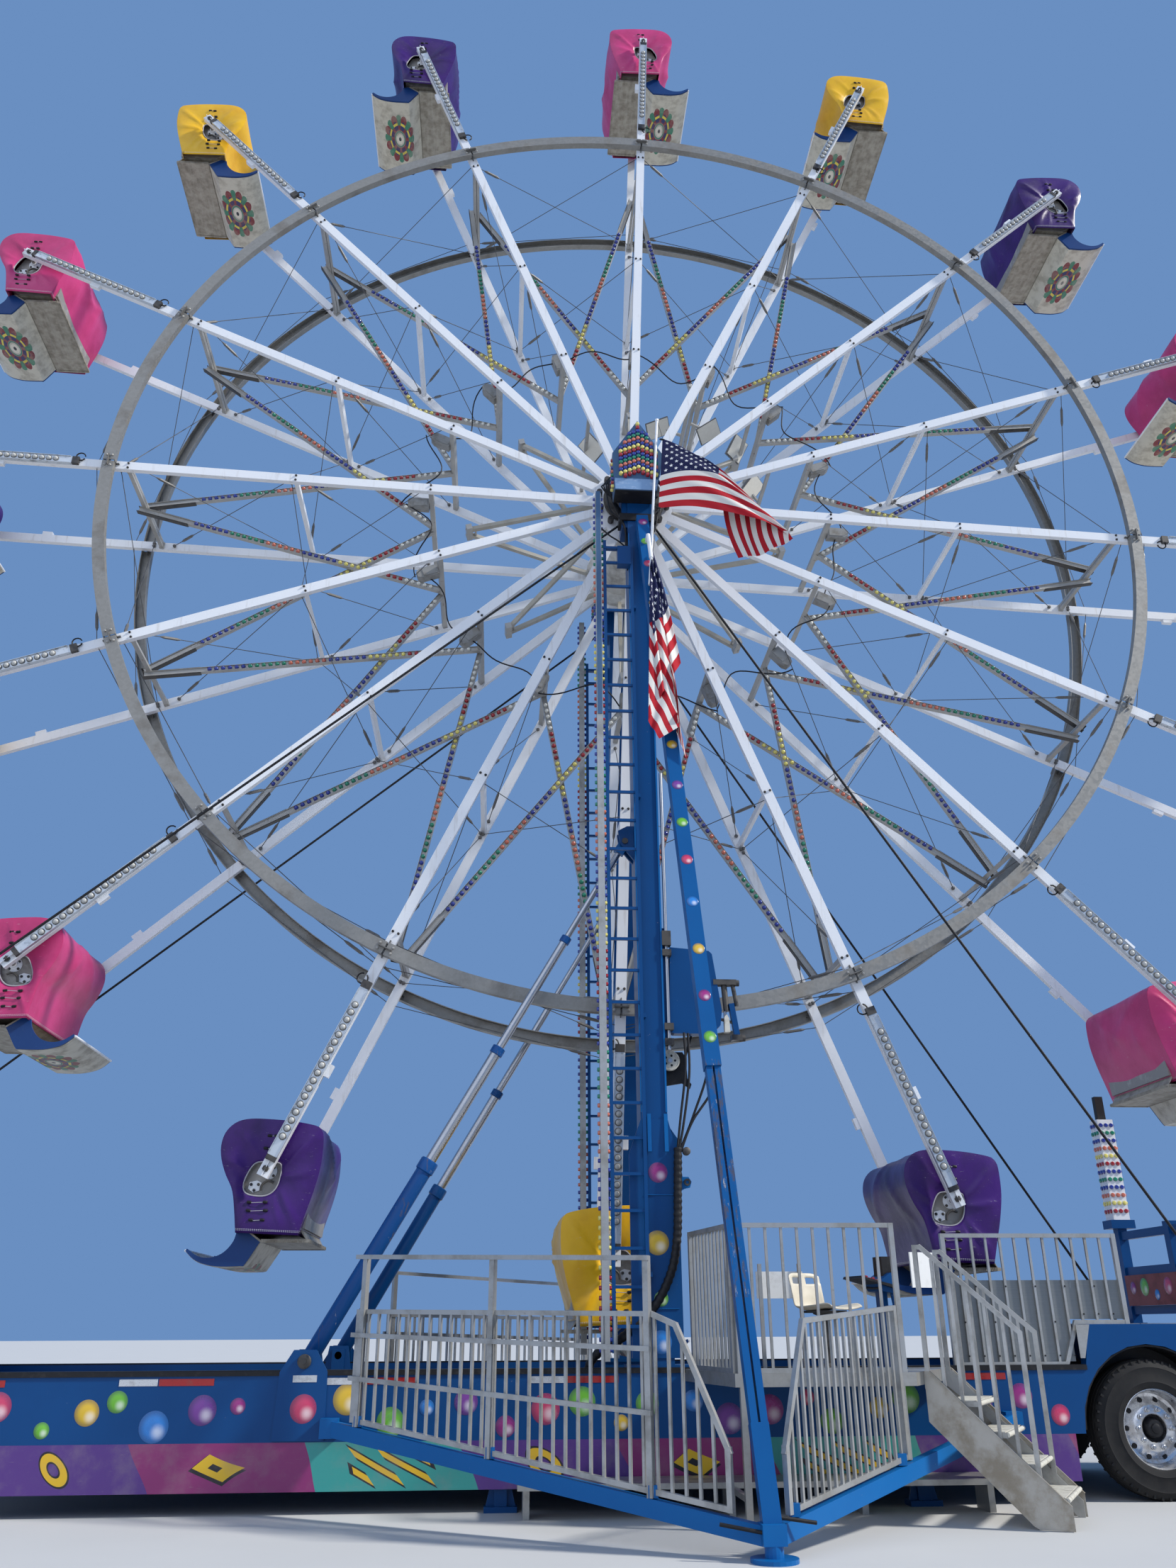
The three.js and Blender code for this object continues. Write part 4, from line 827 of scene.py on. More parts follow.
def dress_wheel():
    """Everything that turns with the wheel, on both of its sides."""
    for name, side in (("near", -1), ("far", 1)):
        piece(f"{name}_rim_channel", rim(side), ZINC, "wheel", smooth=30,
              replaces=[f"{name}_rim"])
        piece(f"{name}_rim_joints", rim_joints(side), GREY_STEEL, "wheel")
        piece(f"{name}_rim_bolts", rim_bolts(side), STRIP, "wheel")
    dress_strips()
    led_bars()
    spoke_fittings()
    stay_wires()
    junction_boxes()
    hub_arms()
    floodlights()
    spoke_loops()


# Nodes that keep their shape take their finish here
def coat(nodes, finish, slot):
    for name in nodes:
        node = frame["nodes"][name]
        node.data.materials.clear()
        node.data.materials.append(finish)


coat(["near_spokes", "far_spokes"], WHITE, "spoke_white")
coat(["even_light_frame", "odd_light_frame"], STRIP, "strip_grey")
coat(["hub"], HUB_CREAM, "hub_dark")
dress_wheel()


# Seats. A seat point is (forward, across, up) from the pivot; seats with an even number face -X.
SEAT_HALF = 0.69
PAN_HALF = 0.6
BOARD_HALF = 0.57
HEM_FRONT, HEM_BACK = (0.232, -0.53), (-0.315, -0.552)
OPENING = [(-0.105, 0.055), (0.02, 0.075), (0.13, 0.055), (0.205, -0.09), (0.195, -0.18), (0.12, -0.215),
           (0.0, -0.215), (-0.075, -0.16), (-0.11, -0.06)]
COVER_KNOTS = [HEM_FRONT, (0.262, -0.34), (0.30, -0.17), (0.375, -0.03), (0.425, 0.10), (0.44, 0.22),
               (0.41, 0.335), (0.325, 0.42), (0.20, 0.452), (0.0, 0.448), (-0.20, 0.43), (-0.40, 0.392),
               (-0.455, 0.35), (-0.474, 0.27), (-0.47, 0.06), (-0.43, -0.15), (-0.37, -0.36), HEM_BACK]


def cover_outline():
    """The cover's side outline from the front hem over the top to the back hem, at even steps."""
    return evenly(curve(COVER_KNOTS, 200), 72)


def folds(points, lines, seed):
    """How far each (across, up) point is pushed out: along every line from a to b a crest with a sharp top,
    exp(-|distance| / width), that fades to nothing at both ends of the line, plus two slow random waves."""
    chance = np.random.default_rng(seed)
    high = np.zeros(len(points))
    for ax, az, bx, bz, width, rise in lines:
        start, way = np.array([ax, az]), np.array([bx - ax, bz - az])
        length = np.hypot(*way)
        way = way / length
        offset = points - start
        along = offset @ way / length
        aside = offset @ np.array([-way[1], way[0]])
        bend = 0.25 * width * np.sin(6 * along + chance.uniform(0, 6))
        inside = np.clip(along, 0, 1)
        fade = (4 * inside * (1 - inside)) ** 0.7
        high += rise * chance.uniform(0.7, 1.7) * np.exp(-np.abs(aside - bend) / width) * fade
    for wave in (5.0, 11.0):
        turn, shift = chance.uniform(0, np.pi), chance.uniform(0, 6)
        high += 0.012 / wave * np.sin(wave * (points @ np.array([np.cos(turn), np.sin(turn)])) + shift)
    return high


SIDE_FOLDS = [(-0.1, 0.0, -0.46, 0.34, 0.030, 0.020), (0.05, 0.08, 0.34, 0.40, 0.035, 0.014),
              (-0.1, -0.15, -0.32, -0.5, 0.028, 0.016), (-0.1, -0.06, -0.44, -0.02, 0.030, 0.016),
              (0.2, -0.12, 0.30, -0.10, 0.022, 0.012), (0.1, -0.2, 0.22, -0.5, 0.025, 0.012),
              (-0.02, 0.07, -0.06, 0.43, 0.018, 0.010), (0.2, 0.0, 0.42, 0.12, 0.03, 0.014),
              (-0.06, -0.2, -0.16, -0.52, 0.03, 0.012)]
WRAP_FOLDS = [(-0.6, 0.2, 0.0, 0.9, 0.05, 0.022), (0.6, 0.3, 0.05, 1.1, 0.05, 0.02),
              (-0.62, 1.0, 0.2, 1.25, 0.05, 0.02), (0.62, 1.35, -0.25, 1.5, 0.05, 0.018),
              (-0.6, 1.8, 0.1, 2.2, 0.06, 0.03), (0.6, 1.75, -0.15, 2.3, 0.06, 0.03),
              (-0.3, 0.05, -0.2, 0.8, 0.06, 0.015), (0.25, 2.5, 0.3, 1.8, 0.06, 0.018),
              (-0.4, 2.6, -0.3, 2.0, 0.05, 0.015)]


def cover(seed):
    """The vinyl cover as one open shell. The wrap is the outline carried across the seat, sucked in by up to
    20 mm in the middle and pushed out by its folds. Each side runs in rings from the outline and hem to the
    opening, mixing the two outlines, and dips towards the opening where the toggles pull it."""
    outline = cover_outline()
    walked = walked_along(outline)
    edge = 0.04 * np.array([0, 0.5, 1])
    across = np.concatenate([-1 + edge, np.linspace(-0.9, 0.9, 23), 1 - edge[::-1]])
    y, s = np.meshgrid(SEAT_HALF * across, walked)
    normal = -normals(outline)
    pinch = (1 - (y / SEAT_HALF) ** 2)
    creases = folds(np.stack([y.ravel(), s.ravel()], -1), WRAP_FOLDS, seed).reshape(y.shape)
    belly = 0.03 * pinch * np.exp(-((s - walked[-1] * 0.86) / 0.5) ** 2) - 0.012 * pinch
    out = creases * pinch ** 0.4 * (np.abs(y) < SEAT_HALF) + belly
    forward, up = (outline[:, None, n] + normal[:, None, n] * out for n in (0, 1))
    wrap = np.stack([forward, y, up], -1)
    shapes = [Shape(wrap, grid_quads(*y.shape), uv=np.stack([y, hem_height(wrap)], -1))]
    hem = np.linspace(outline[-1], outline[0], 22)[1:-1]
    outer = np.vstack([outline, hem])
    corner = np.arctan2(*(outer - (0.04, -0.06)).T[::-1])
    hole = curve(OPENING, 120, closed=True)
    hole_turn = np.unwrap(np.arctan2(*(hole - (0.04, -0.06)).T[::-1]))
    hole_turn, hole = (hole_turn, hole) if hole_turn[-1] > hole_turn[0] else (hole_turn[::-1], hole[::-1])
    cycle = (np.mod(corner - hole_turn[0], 2 * np.pi)) + hole_turn[0]
    round_turn, round_hole = np.append(hole_turn, hole_turn[0] + 2 * np.pi), np.vstack([hole, hole[:1]])
    inner = np.stack([np.interp(cycle, round_turn, column) for column in round_hole.T], -1)
    for side in BOTH:
        share = np.linspace(0, 1, 14)[:, None, None] ** 0.9
        flat = outer[None] * (1 - share) + inner[None] * share
        rise = folds(flat.reshape(-1, 2), SIDE_FOLDS, seed + 7 * side).reshape(flat.shape[:2])
        rise = (rise + 0.012) * (1 - (1 - share[..., 0]) ** 6) - 0.04 * share[..., 0] ** 2.5
        rings = np.stack([flat[..., 0], side * (SEAT_HALF + rise), flat[..., 1]], -1)
        shapes.append(Shape(rings, grid_quads(*flat.shape[:2], ring=True)[:, ::side],
                            uv=np.stack([rings[..., 0], hem_height(rings)], -1)))
    return together(*shapes).welded()


def hem_height(points):
    """Height of a point above the hem line below it."""
    share = (points[..., 0] - HEM_BACK[0]) / (HEM_FRONT[0] - HEM_BACK[0])
    return points[..., 2] - HEM_BACK[1] - np.clip(share, 0, 1) * (HEM_FRONT[1] - HEM_BACK[1])


def vinyl(name, colour, shade):
    """Glossy coated cloth: a fine weave, faded patches, scuffs, and a stitched line at the hem."""
    f = Finish(name)
    across, high = pattern_place(f)
    faded = f.noise(2.2, 4, 0.6).smooth(0.35, 0.7)
    scuffs = f.noise(16, 6, 0.7, f.stretched(1, 1, 3)).smooth(0.62, 0.74)
    dash = abs((across * 55).math("FRACT") - 0.5) < 0.33
    stitches = ((abs(high - 0.024) < 0.0022) + (abs(high - 0.034) < 0.0022)) * dash
    tone = f.mix(faded, colour, shade)
    tone = f.mix(scuffs * 0.35, tone, (0.62, 0.6, 0.6))
    tone = f.mix(stitches * 0.7, tone, (0.75, 0.73, 0.72))
    wrinkles = f.noise(30, 3, 0.6, f.stretched(1, 1, 0.4))
    weave = f.noise(900, 1) * 0.3 + f.noise(9, 3) * 2.0 + wrinkles * 0.8 - stitches
    return f.done(tone, roughness=0.36 + faded * 0.1 + scuffs * 0.3, height=weave, strength=0.35, depth=0.004,
                  Coat_Weight=0.06, Specular_IOR_Level=0.32)


def pattern_place(f):
    """A pattern's own axes, from the piece's UV map."""
    return f.axes(f.node("ShaderNodeUVMap", {"uv_map": "pattern"}))[:2]


VINYLS = {
    "pink": vinyl("vinyl_pink", (0.58, 0.050, 0.19), (0.46, 0.034, 0.14)),
    "yellow": vinyl("vinyl_yellow", (0.82, 0.47, 0.012), (0.70, 0.36, 0.010)),
    "purple": vinyl("vinyl_purple", (0.046, 0.008, 0.145), (0.026, 0.005, 0.085)),
}
SEAT_COLOURS = ["pink", "yellow", "purple", "pink", "yellow", "purple", "pink", "purple",
                "yellow", "purple", "pink", "yellow", "purple", "pink", "yellow", "purple"]


def seat_frame(number):
    """Frame of a seat: its forward, across and up, with the origin at the pivot."""
    facing = 1 if number % 2 == 0 else -1
    return np.array([[facing, 0, 0], [0, 1, 0], [0, 0, 1], on_wheel(SEAT_R, SPOKES[number], 0)])[None]


def seated(shape, number):
    """The shape at its seat. A seat that faces the other way is a mirror image, so its faces turn round."""
    made = shape.placed(seat_frame(number))
    if number % 2:
        made.faces = [rows[:, ::-1] for rows in made.faces]
    return made


def tub():
    """The steel tub inside the cover, with its side plates and pivot tube."""
    outline = [(-0.36, -0.49), (0.10, -0.49), (0.215, -0.40), (0.25, -0.17), (0.14, 0.10), (-0.10, 0.16),
               (-0.36, 0.33), (-0.42, 0.30), (-0.42, 0.05)]
    body = plate(outline, -0.60, 0.60)
    rods = [bars(circle(0.024, 14), (0, side * 0.6, 0), (0, side * 0.7495, 0), (1, 0, 0)) for side in BOTH]
    return together(body, *rods)


def tub_fittings():
    """Both bearing plates and the hinge plates, seen through the openings."""
    parts = []
    for side in BOTH:
        pivot = turned([(0.07, 0), (0.07, 0.01), (0.05, 0.016), (0.034, 0.03), (0.034, 0.05), (0.026, 0.05),
                        (0, 0.05)], 20)
        hinge = [(0.06, -0.10), (0.10, -0.08), (0.165, -0.095), (0.175, -0.15), (0.13, -0.185),
                 (0.07, -0.165)]
        parts.append(pivot.placed(frames_at((0, side * 0.60, 0), (0, side, 0), (1, 0, 0))))
        parts.append(plate(hinge, *sorted((side * 0.60, side * 0.612))))
    return together(*parts)


def tub_bolts():
    """Bolt heads on the bearing and hinge plates, and the lap bar's bent lever on both sides."""
    spots = np.array([(0.085, 0.611, -0.115), (0.15, 0.611, -0.115), (0.12, 0.611, -0.165),
                      (0.04, 0.609, 0.03), (-0.04, 0.609, 0.03), (-0.04, 0.609, -0.04), (0.04, 0.609, -0.04)])
    path = np.array([(-0.05, 0.63, -0.10), (0.0, 0.632, -0.085), (0.05, 0.632, -0.12), (0.06, 0.63, -0.17)])
    flips = [(1, side, 1) for side in BOTH]
    heads = [BOLT.placed(frames_at(spots * flip, (0, flip[1], 0), (1, 0, 0))) for flip in flips]
    return together(*heads, *(tube(curve(path * flip, 14), 0.011, 8) for flip in flips))


def pan():
    """The seat pan: a flat plate with a raised lip at the back and both ends, ribbed along the lips."""
    base = plate(box_of(-0.385, 0.012, -0.600, -0.590), -PAN_HALF + 0.01, PAN_HALF - 0.01)
    wall = plate([(-0.395, -0.604), (-0.335, -0.500), (0.165, -0.500), (0.02, -0.604), (0.012, -0.589),
                  (0.14, -0.505), (-0.32, -0.505), (-0.383, -0.589)], -PAN_HALF + 0.004, PAN_HALF - 0.004)
    rim_back = bars(rectangle(0.02, 0.03), (-0.392, -PAN_HALF, -0.592), (-0.392, PAN_HALF, -0.592), (0, 0, 1))
    rim_ends = [bars(rectangle(0.02, 0.03), (-0.40, y, -0.592), (0.015, y, -0.592))
                for y in (-PAN_HALF + 0.008, PAN_HALF - 0.008)]
    rib = bars(rectangle(0.008, 0.010), (0, 0, -0.014), (0, 0, 0.014), (0, 1, 0))
    spots = [(-0.404, y, -0.592) for y in np.linspace(-0.58, 0.58, 66)]
    spots += [(x, s * (PAN_HALF + 0.004), -0.592) for s in BOTH for x in np.linspace(-0.37, 0.0, 22)]
    ribs = rib.placed(frames_at(spots, (0, 0, 1), (1, 0, 0)))
    return together(base, wall, rim_back, *rim_ends, ribs)


BOARD_PATH = [(0.02, -0.592), (0.05, -0.64), (0.14, -0.785), (0.18, -0.80), (0.38, -0.802), (0.52, -0.775),
              (0.60, -0.735), (0.665, -0.675)]


def footboard():
    """The curled footboard: its path carried across the seat, 10 mm thick, with UV from its near corner."""
    path = evenly(curve(BOARD_PATH, 120), 34)
    over = normals(path) * 0.005
    loop = np.vstack([path - over, (path + over)[::-1]])
    rings = np.stack([np.insert(loop, 1, y, axis=1) for y in np.linspace(-BOARD_HALF, BOARD_HALF, 9)])
    walked = walked_along(path)
    along = np.concatenate([walked, walked[::-1]])
    side = np.broadcast_to(np.linspace(-BOARD_HALF, BOARD_HALF, 9)[:, None], rings.shape[:2])
    made = lofted(rings)
    made.uv = np.stack([side, np.broadcast_to(along, side.shape)], -1).reshape(-1, 2)
    return made


def board_flanges():
    """The blue side flanges between the board and a hollow curve above it."""
    low = evenly(curve(BOARD_PATH, 120), 30)
    high = evenly(curve([(0.235, -0.50), (0.262, -0.60), (0.34, -0.69), (0.45, -0.73), (0.56, -0.715),
                         (0.655, -0.655)], 90), 30)
    high[0] = (0.17, -0.50)
    parts = []
    for side in BOTH:
        inner, outer = side * BOARD_HALF, side * (BOARD_HALF + 0.022)
        corners = [np.insert(path, 1, y, axis=1)
                   for path, y in ((low, inner), (low, outer), (high, outer), (high, inner))]
        parts.append(lofted(np.stack(corners, 1)))
    return together(*parts)


def board_lip():
    """The bead along the board's front edge."""
    return bars(circle(0.012, 10), (0.667, -BOARD_HALF - 0.01, -0.672), (0.667, BOARD_HALF + 0.01, -0.672),
                (0, 0, 1))


# Toggle pairs: forward and up of the pair's middle, and half the way between the two
TOGGLES = ((-0.02, 0.30, 0.03), (0.0, 0.19, 0.035), (0.065, -0.275, 0.07), (0.06, -0.345, 0.075),
           (0.055, -0.425, 0.05))


def toggles():
    """Black toggles in pairs on both sides of the slit, above and below the opening."""
    block = turned([(0.010, -0.02), (0.013, -0.014), (0.013, 0.014), (0.010, 0.02)], 8)
    parts = []
    for side in BOTH:
        for x, z, apart in TOGGLES:
            spots = [(x - apart, side * 0.702, z), (x + apart, side * 0.702, z)]
            parts.append(block.placed(frames_at(spots, (1, 0, 0.1), (0, 1, 0))))
    return together(*parts)


def toggle_cords():
    """A cord between the toggles of each pair, and the piping round both openings."""
    parts = []
    for side in BOTH:
        for x, z, apart in TOGGLES:
            y = side * 0.706
            parts.append(bars(circle(0.003, 6), (x - apart, y, z), (x + apart, y, z - 0.006)))
        loop = curve(OPENING, 64, closed=True)
        ring = np.insert(loop, 1, side * (SEAT_HALF - 0.024), axis=1)
        parts.append(ring_tube(ring, 0.0065, 7))
    return together(*parts)


def ring_tube(path, radius, sides):
    """A round tube along a closed path."""
    along = unit(np.roll(path, -1, 0) - np.roll(path, 1, 0))
    over = unit(np.cross(along, (0, 1, 0)))
    across = np.cross(over, along)
    ring = circle(radius, sides)[None]
    return lofted(path[:, None] + ring[..., :1] * across[:, None] + ring[..., 1:] * over[:, None],
                  closed=True)


def board_paint():
    """Cream board with a generic painted rosette in maroon, navy, yellow and green, worn along its edges. The
    rosette is petals in a ring round the middle: |sin| of the angle against the distance from the centre."""
    f = Finish("board_paint")
    across, along = pattern_place(f)
    x, y = across / 0.40, (along - 0.40) / 0.225
    far = (x * x + y * y) ** 0.5
    turn = y.math("ARCTAN2", x)
    worn = f.noise(7, 5, 0.65).smooth(0.42, 0.68)
    tone = f.mix(worn, (0.62, 0.58, 0.47), (0.42, 0.38, 0.30))
    petals = abs((turn * 4).math("SINE"))
    leaves = abs((turn * 4).math("COSINE"))
    layers = (((far < petals * 0.35 + 0.62) * (far > 0.34), (0.22, 0.03, 0.035)),
              ((far < petals * 0.30 + 0.42) * (far > 0.38) * (petals > 0.55), (0.03, 0.035, 0.13)),
              ((abs(far - 0.60) < 0.05) * (petals > 0.5), (0.78, 0.62, 0.08)),
              ((far < leaves * 0.30 + 0.66) * (far > 0.55) * (leaves > 0.8), (0.05, 0.22, 0.13)),
              ((abs(far - 0.30) < 0.035), (0.05, 0.20, 0.14)),
              ((far < 0.20), (0.75, 0.70, 0.58)),
              ((far < 0.08), (0.03, 0.03, 0.04)))
    for mask, colour in layers:
        tone = f.mix(mask * (1 - worn * 0.35), tone, colour)
    return f.done(tone, roughness=0.45 + worn * 0.25, height=worn, strength=0.12)


BOARD = board_paint()


def dress_seat(number):
    """All pieces of one seat. Returns its cover and the cords that move with it."""
    name, body = f"seat_{number + 1:02d}", f"seat_{number + 1:02d}_body"
    colour = SEAT_COLOURS[number]
    trim = piece(f"{name}_toggle_cords", seated(toggle_cords(), number), PIPING, body, smooth=50)
    shell = piece(f"{name}_cover", seated(cover(100 + number), number), VINYLS[colour], body, smooth=70,
                  replaces=[name], thickness=0.003)
    piece(f"{name}_toggles", seated(toggles(), number), CABLE, body, smooth=40)
    piece(f"{name}_tub", seated(tub(), number), TUB, body, smooth=30)
    piece(f"{name}_bearings", seated(tub_fittings(), number), WHITE, body, smooth=30)
    piece(f"{name}_bolts", seated(tub_bolts(), number), DARK, body, smooth=30)
    piece(f"{name}_pan", seated(pan(), number), PAN, body)
    piece(f"{name}_footboard", seated(footboard(), number), BOARD, body, smooth=30)
    piece(f"{name}_flanges", seated(board_flanges(), number), FLANGE, body, smooth=30)
    piece(f"{name}_lip", seated(board_lip(), number), WHITE, body, smooth=40)
    return shell, trim


covers = [dress_seat(number) for number in range(SEATS)]


# Tower and base
COLUMN_X = -0.455
FLAG_Y = -1.56
DECK_Z = 1.0
SIDE_Y = 1.3
AXLES = (4.15, 5.40)
AXLE_Z = 0.525
REAR_POST = (5.27, 1.03)


def mirrored(shape):
    """The same shape on the far side."""
    return Shape(shape.points * (1, -1, 1), *[rows[:, ::-1] for rows in shape.faces], uv=shape.uv)


def on_both_sides(shape):
    """The near shape and its mirror image on the far side."""
    return together(shape, mirrored(shape))


def strut_paint():
    """Blue enamel, sound on the box above and at the foot, rubbed to brown on the legs, with pale streaks
    there that are partly bare steel and partly a painted highlight.
    """
    f = Finish("strut_blue")
    _, _, level = f.axes()
    legs = (level < 3.2) * (level > 1.5)
    patches = f.noise(1.6, 4, 0.6)
    rubbed = f.noise(4, 6, 0.7, f.stretched(6, 6, 0.16)).smooth(0.49, 0.60) * legs
    # Pale streaks on the legs: partly rubbed-through steel, partly a painted highlight.
    bright = f.noise(6, 5, 0.75, f.stretched(6, 6, 0.14)).smooth(0.60, 0.67) * legs
    chips = f.noise(30, 4, 0.7).smooth(0.70, 0.76)
    tone = f.mix(patches, (0.003, 0.100, 0.31), (0.003, 0.070, 0.23))
    tone = f.mix(chips * 0.4, tone, (0.30, 0.31, 0.32))
    tone = f.mix(rubbed * 0.7, tone, (0.075, 0.055, 0.04))
    tone = f.mix(bright * 0.7, tone, (0.42, 0.41, 0.39))
    return f.done(tone, roughness=0.32 + rubbed * 0.3, height=patches - rubbed, strength=0.12,
                  Specular_IOR_Level=0.25)


def tinted(name, roughness=0.25):
    """Painted balls: each disc's own tint, darker at the edge, with a soft light spot up on one side."""
    f = Finish(name)
    x, y = pattern_place(f)
    far = (x * x + y * y) ** 0.5
    spot = ((x - 0.28) * (x - 0.28) + (y + 0.30) * (y + 0.30)) ** 0.5
    tint = f.node("ShaderNodeAttribute", {"attribute_name": "tint", "attribute_type": "GEOMETRY"})
    tone = f.mix(far.smooth(0.45, 1.0) * 0.55, tint, (0.01, 0.02, 0.08))
    tone = f.mix((1 - spot.smooth(0.05, 0.62)) * 0.55, tone, (0.95, 0.93, 0.9))
    wear = f.noise(9, 5, 0.65).smooth(0.52, 0.75)
    return f.done(f.mix(wear * 0.25, tone, (0.03, 0.08, 0.25)), roughness=roughness + wear * 0.2)


STRUT_BLUE = strut_paint()
BALL = tinted("painted_ball")
BALL_TINTS = {"magenta": (0.33, 0.03, 0.20), "green": (0.16, 0.48, 0.035), "pink": (0.60, 0.05, 0.13),
              "yellow": (0.75, 0.48, 0.03), "blue": (0.03, 0.22, 0.62), "purple": (0.20, 0.05, 0.30)}


def balls(name, places, radii, tints, normal, right):
    """Painted discs, 1 mm proud of their panel, each with UV from -1 to 1 and a tint of its own."""
    disc = turned([(1.0, 0), (0.96, 0.0012), (0, 0.0018)], 28)
    disc.uv = disc.points[:, :2].copy()
    frames = frames_at(places, normal, right)
    radii = np.asarray(radii, float)
    frames[:, :2] *= radii[:, None, None]
    made = disc.placed(frames)
    tint = np.repeat([BALL_TINTS[t] for t in tints], len(disc.points), axis=0)
    return piece(name, made, BALL, "base", smooth=40, tint=tint)


def balls_on_both(name, places, radii, tints, normal=(0, -1, 0)):
    """The same balls on the near side and, mirrored, on the far side."""
    for title, side in ((name, 1), (f"far_{name}", -1)):
        flip = np.array([1, side, 1])
        balls(title, places * flip, radii, tints, normal * flip, (side, 0, 0))


coat(["near_mast", "far_mast", "near_ladder", "far_ladder"], TOWER_BLUE, "tower_blue")
coat(["near_outrigger", "far_outrigger"], FRAME_BLUE, "tower_blue")
coat(["near_strut", "far_strut"], STRUT_BLUE, "tower_blue")
coat(["chassis", "front_frame", "rear_frame"], TOWER_BLUE, "tower_blue")
coat(["near_head_panel", "far_head_panel"], PANEL_BLUE, "panel_blue")
coat(["near_light_column", "far_light_column"], ALLOY, "aluminium")
coat(["platform"], DECKING, "aluminium")
coat(["stair", "near_left_fence", "far_left_fence", "near_right_fence", "deck_fence_left", "deck_fence_front",
      "deck_fence_right"], ALLOY, "aluminium")
coat(["near_guys", "far_guys"], CABLE, "guy_black")

PEG = turned([(0.019, 0), (0.019, 0.026), (0.015, 0.031), (0, 0.032)], 10)


def column_lights():
    """Peg bulbs on both edges of both light columns, in groups of six from the top."""
    order = ["blue", "green", "salmon", "blue", "yellow", "red"] * 4
    high = np.arange(9.70, 1.10, -0.0785)
    found = {}
    for n, z in enumerate(high):
        found.setdefault(order[n // 6 % len(order)], []).append(z)
    for name, levels in found.items():
        parts = []
        for edge in BOTH:
            for side in BOTH:
                spots = [(COLUMN_X + edge * 0.0325, side * 1.35, level) for level in levels]
                frames = frames_at(spots, (edge, 0, 0), (0, 1, 0))
                frames[:, 2] *= 0.7
                parts.append(PEG.placed(frames))
        piece(f"column_bulbs_{name}", together(*parts), BULBS[name], "base", smooth=50)
    cover_plate = upright(rectangle(0.05, 0.006), COLUMN_X, -1.394, 7.0, 9.78)
    piece("column_paint", on_both_sides(cover_plate), PANEL_BLUE, "base")


def head_lights():
    """Chevrons of peg bulbs on both head panels: in row r and column c a bulb lies at
    (apex + c * pitch, top - r * pitch - |c| * drop), where the pentagon has room for it."""
    order = ["yellow", "red", "blue", "green", "salmon", "blue", "yellow", "red", "blue", "green", "salmon",
             "blue", "yellow", "red"]
    row, column = np.meshgrid(np.arange(14), np.arange(-4, 5), indexing="ij")
    x = -0.012 + column * 0.0495
    z = 10.628 - row * 0.0505 - np.abs(column) * 0.0235
    ceiling = np.where(x > -0.012, 10.69 - (x + 0.01) * 0.47 / 0.28, 10.69 + (x + 0.01) * 0.47 / 0.29)
    room = (z < ceiling - 0.045) & (z > 9.885) & (x > -0.27) & (x < 0.20)
    room[0], room[1] = column[0] == 0, column[1] == 0
    for name in BULBS:
        chosen = room & (np.array(order)[row] == name)
        if not chosen.any():
            continue
        spots = np.stack([x[chosen], np.full(chosen.sum(), -1.5205), z[chosen]], -1)
        levels = np.arange(9.80, 10.16, 0.05)[[order[n % 14] == name for n in range(8)]]
        edge = [(-0.285, y, level) for y in (-1.47, -1.40) for level in levels]
        frames = frames_at(spots, (0, -1, 0), (1, 0, 0))
        frames[:, :3] *= 1.15
        parts = [PEG.placed(frames)]
        if len(levels):
            parts.append(PEG.placed(frames_at(edge, (-1, 0, 0), (0, 1, 0))))
        piece(f"head_bulbs_{name}", on_both_sides(together(*parts)), BULBS[name], "base", smooth=50)
    band = plate([(-0.272, 9.728), (0.184, 9.728), (0.206, 9.872), (-0.278, 9.872)], -1.524, -1.5195)
    piece("head_band", on_both_sides(band), HEAD_BAND, "base")
    # A thin black plate under the head panel: painted shade for its dark hollow underside.
    shade = upright(rectangle(0.455, 0.222), -0.045, -1.405, 9.712, 9.7195)
    piece("head_painted_shade", on_both_sides(shade), CABLE, "base")
    hook = together(upright(rectangle(0.145, 0.10), -0.175, -1.335, 8.84, 9.07),
                    bars(rectangle(0.05, 0.03), (-0.40, -1.345, 9.055), (-0.10, -1.345, 9.055)))
    piece("ladder_hook", on_both_sides(hook), TOWER_BLUE, "base")


STRUT_TOP, STRUT_FOOT = np.array([0.02, -1.425, 9.4]), np.array([0.375, -3.6, 0.19])
STRUT_NORMAL = unit(np.cross(STRUT_FOOT - STRUT_TOP, (1, 0, 0)))


def strut_balls():
    """Painted balls down both struts, where the shares say, and four on the foot of both masts."""
    share = np.array([0.012, 0.045, 0.082, 0.145, 0.195, 0.24, 0.29, 0.343, 0.393, 0.437, 0.479, 0.524, 0.572,
                      0.617, 0.655])
    tints = ["magenta", "green", "pink", "yellow", "blue", "magenta", "green", "yellow", "purple", "green",
             "pink", "blue", "yellow", "magenta", "green"]
    places = STRUT_TOP + share[:, None] * (STRUT_FOOT - STRUT_TOP) + STRUT_NORMAL * 0.0632
    balls_on_both("strut_balls", places, np.full(15, 0.05), tints, STRUT_NORMAL)
    spots = np.array([(0.02, 2.545), (0.0, 1.97), (0.02, 1.53), (0.01, 1.2)])
    places = np.insert(spots, 1, -1.2995, axis=1)
    balls_on_both("mast_balls", places, [0.085, 0.10, 0.06, 0.09], ["magenta", "yellow", "green", "blue"])


# Upper and lower flag: where each flag point lies
def cloth(points, rows, columns, name, replaced):
    """A flag as an open sheet, with UV from its upper hoist corner."""
    shape = Shape(points, grid_quads(rows, columns),
                  uv=np.stack(np.meshgrid(np.linspace(0, 1, columns), np.linspace(0, 1, rows)), -1))
    made = piece(name, shape, FLAG, "base", smooth=80, replaces=[replaced])


def beside_pole(level):
    """The hoist line beside the leaning pole, at the given heights."""
    level = np.asarray(level, float)
    return np.stack([0.19 + 0.0757 * (level - 9.45), np.full_like(level, FLAG_Y - 0.03), level], -1)


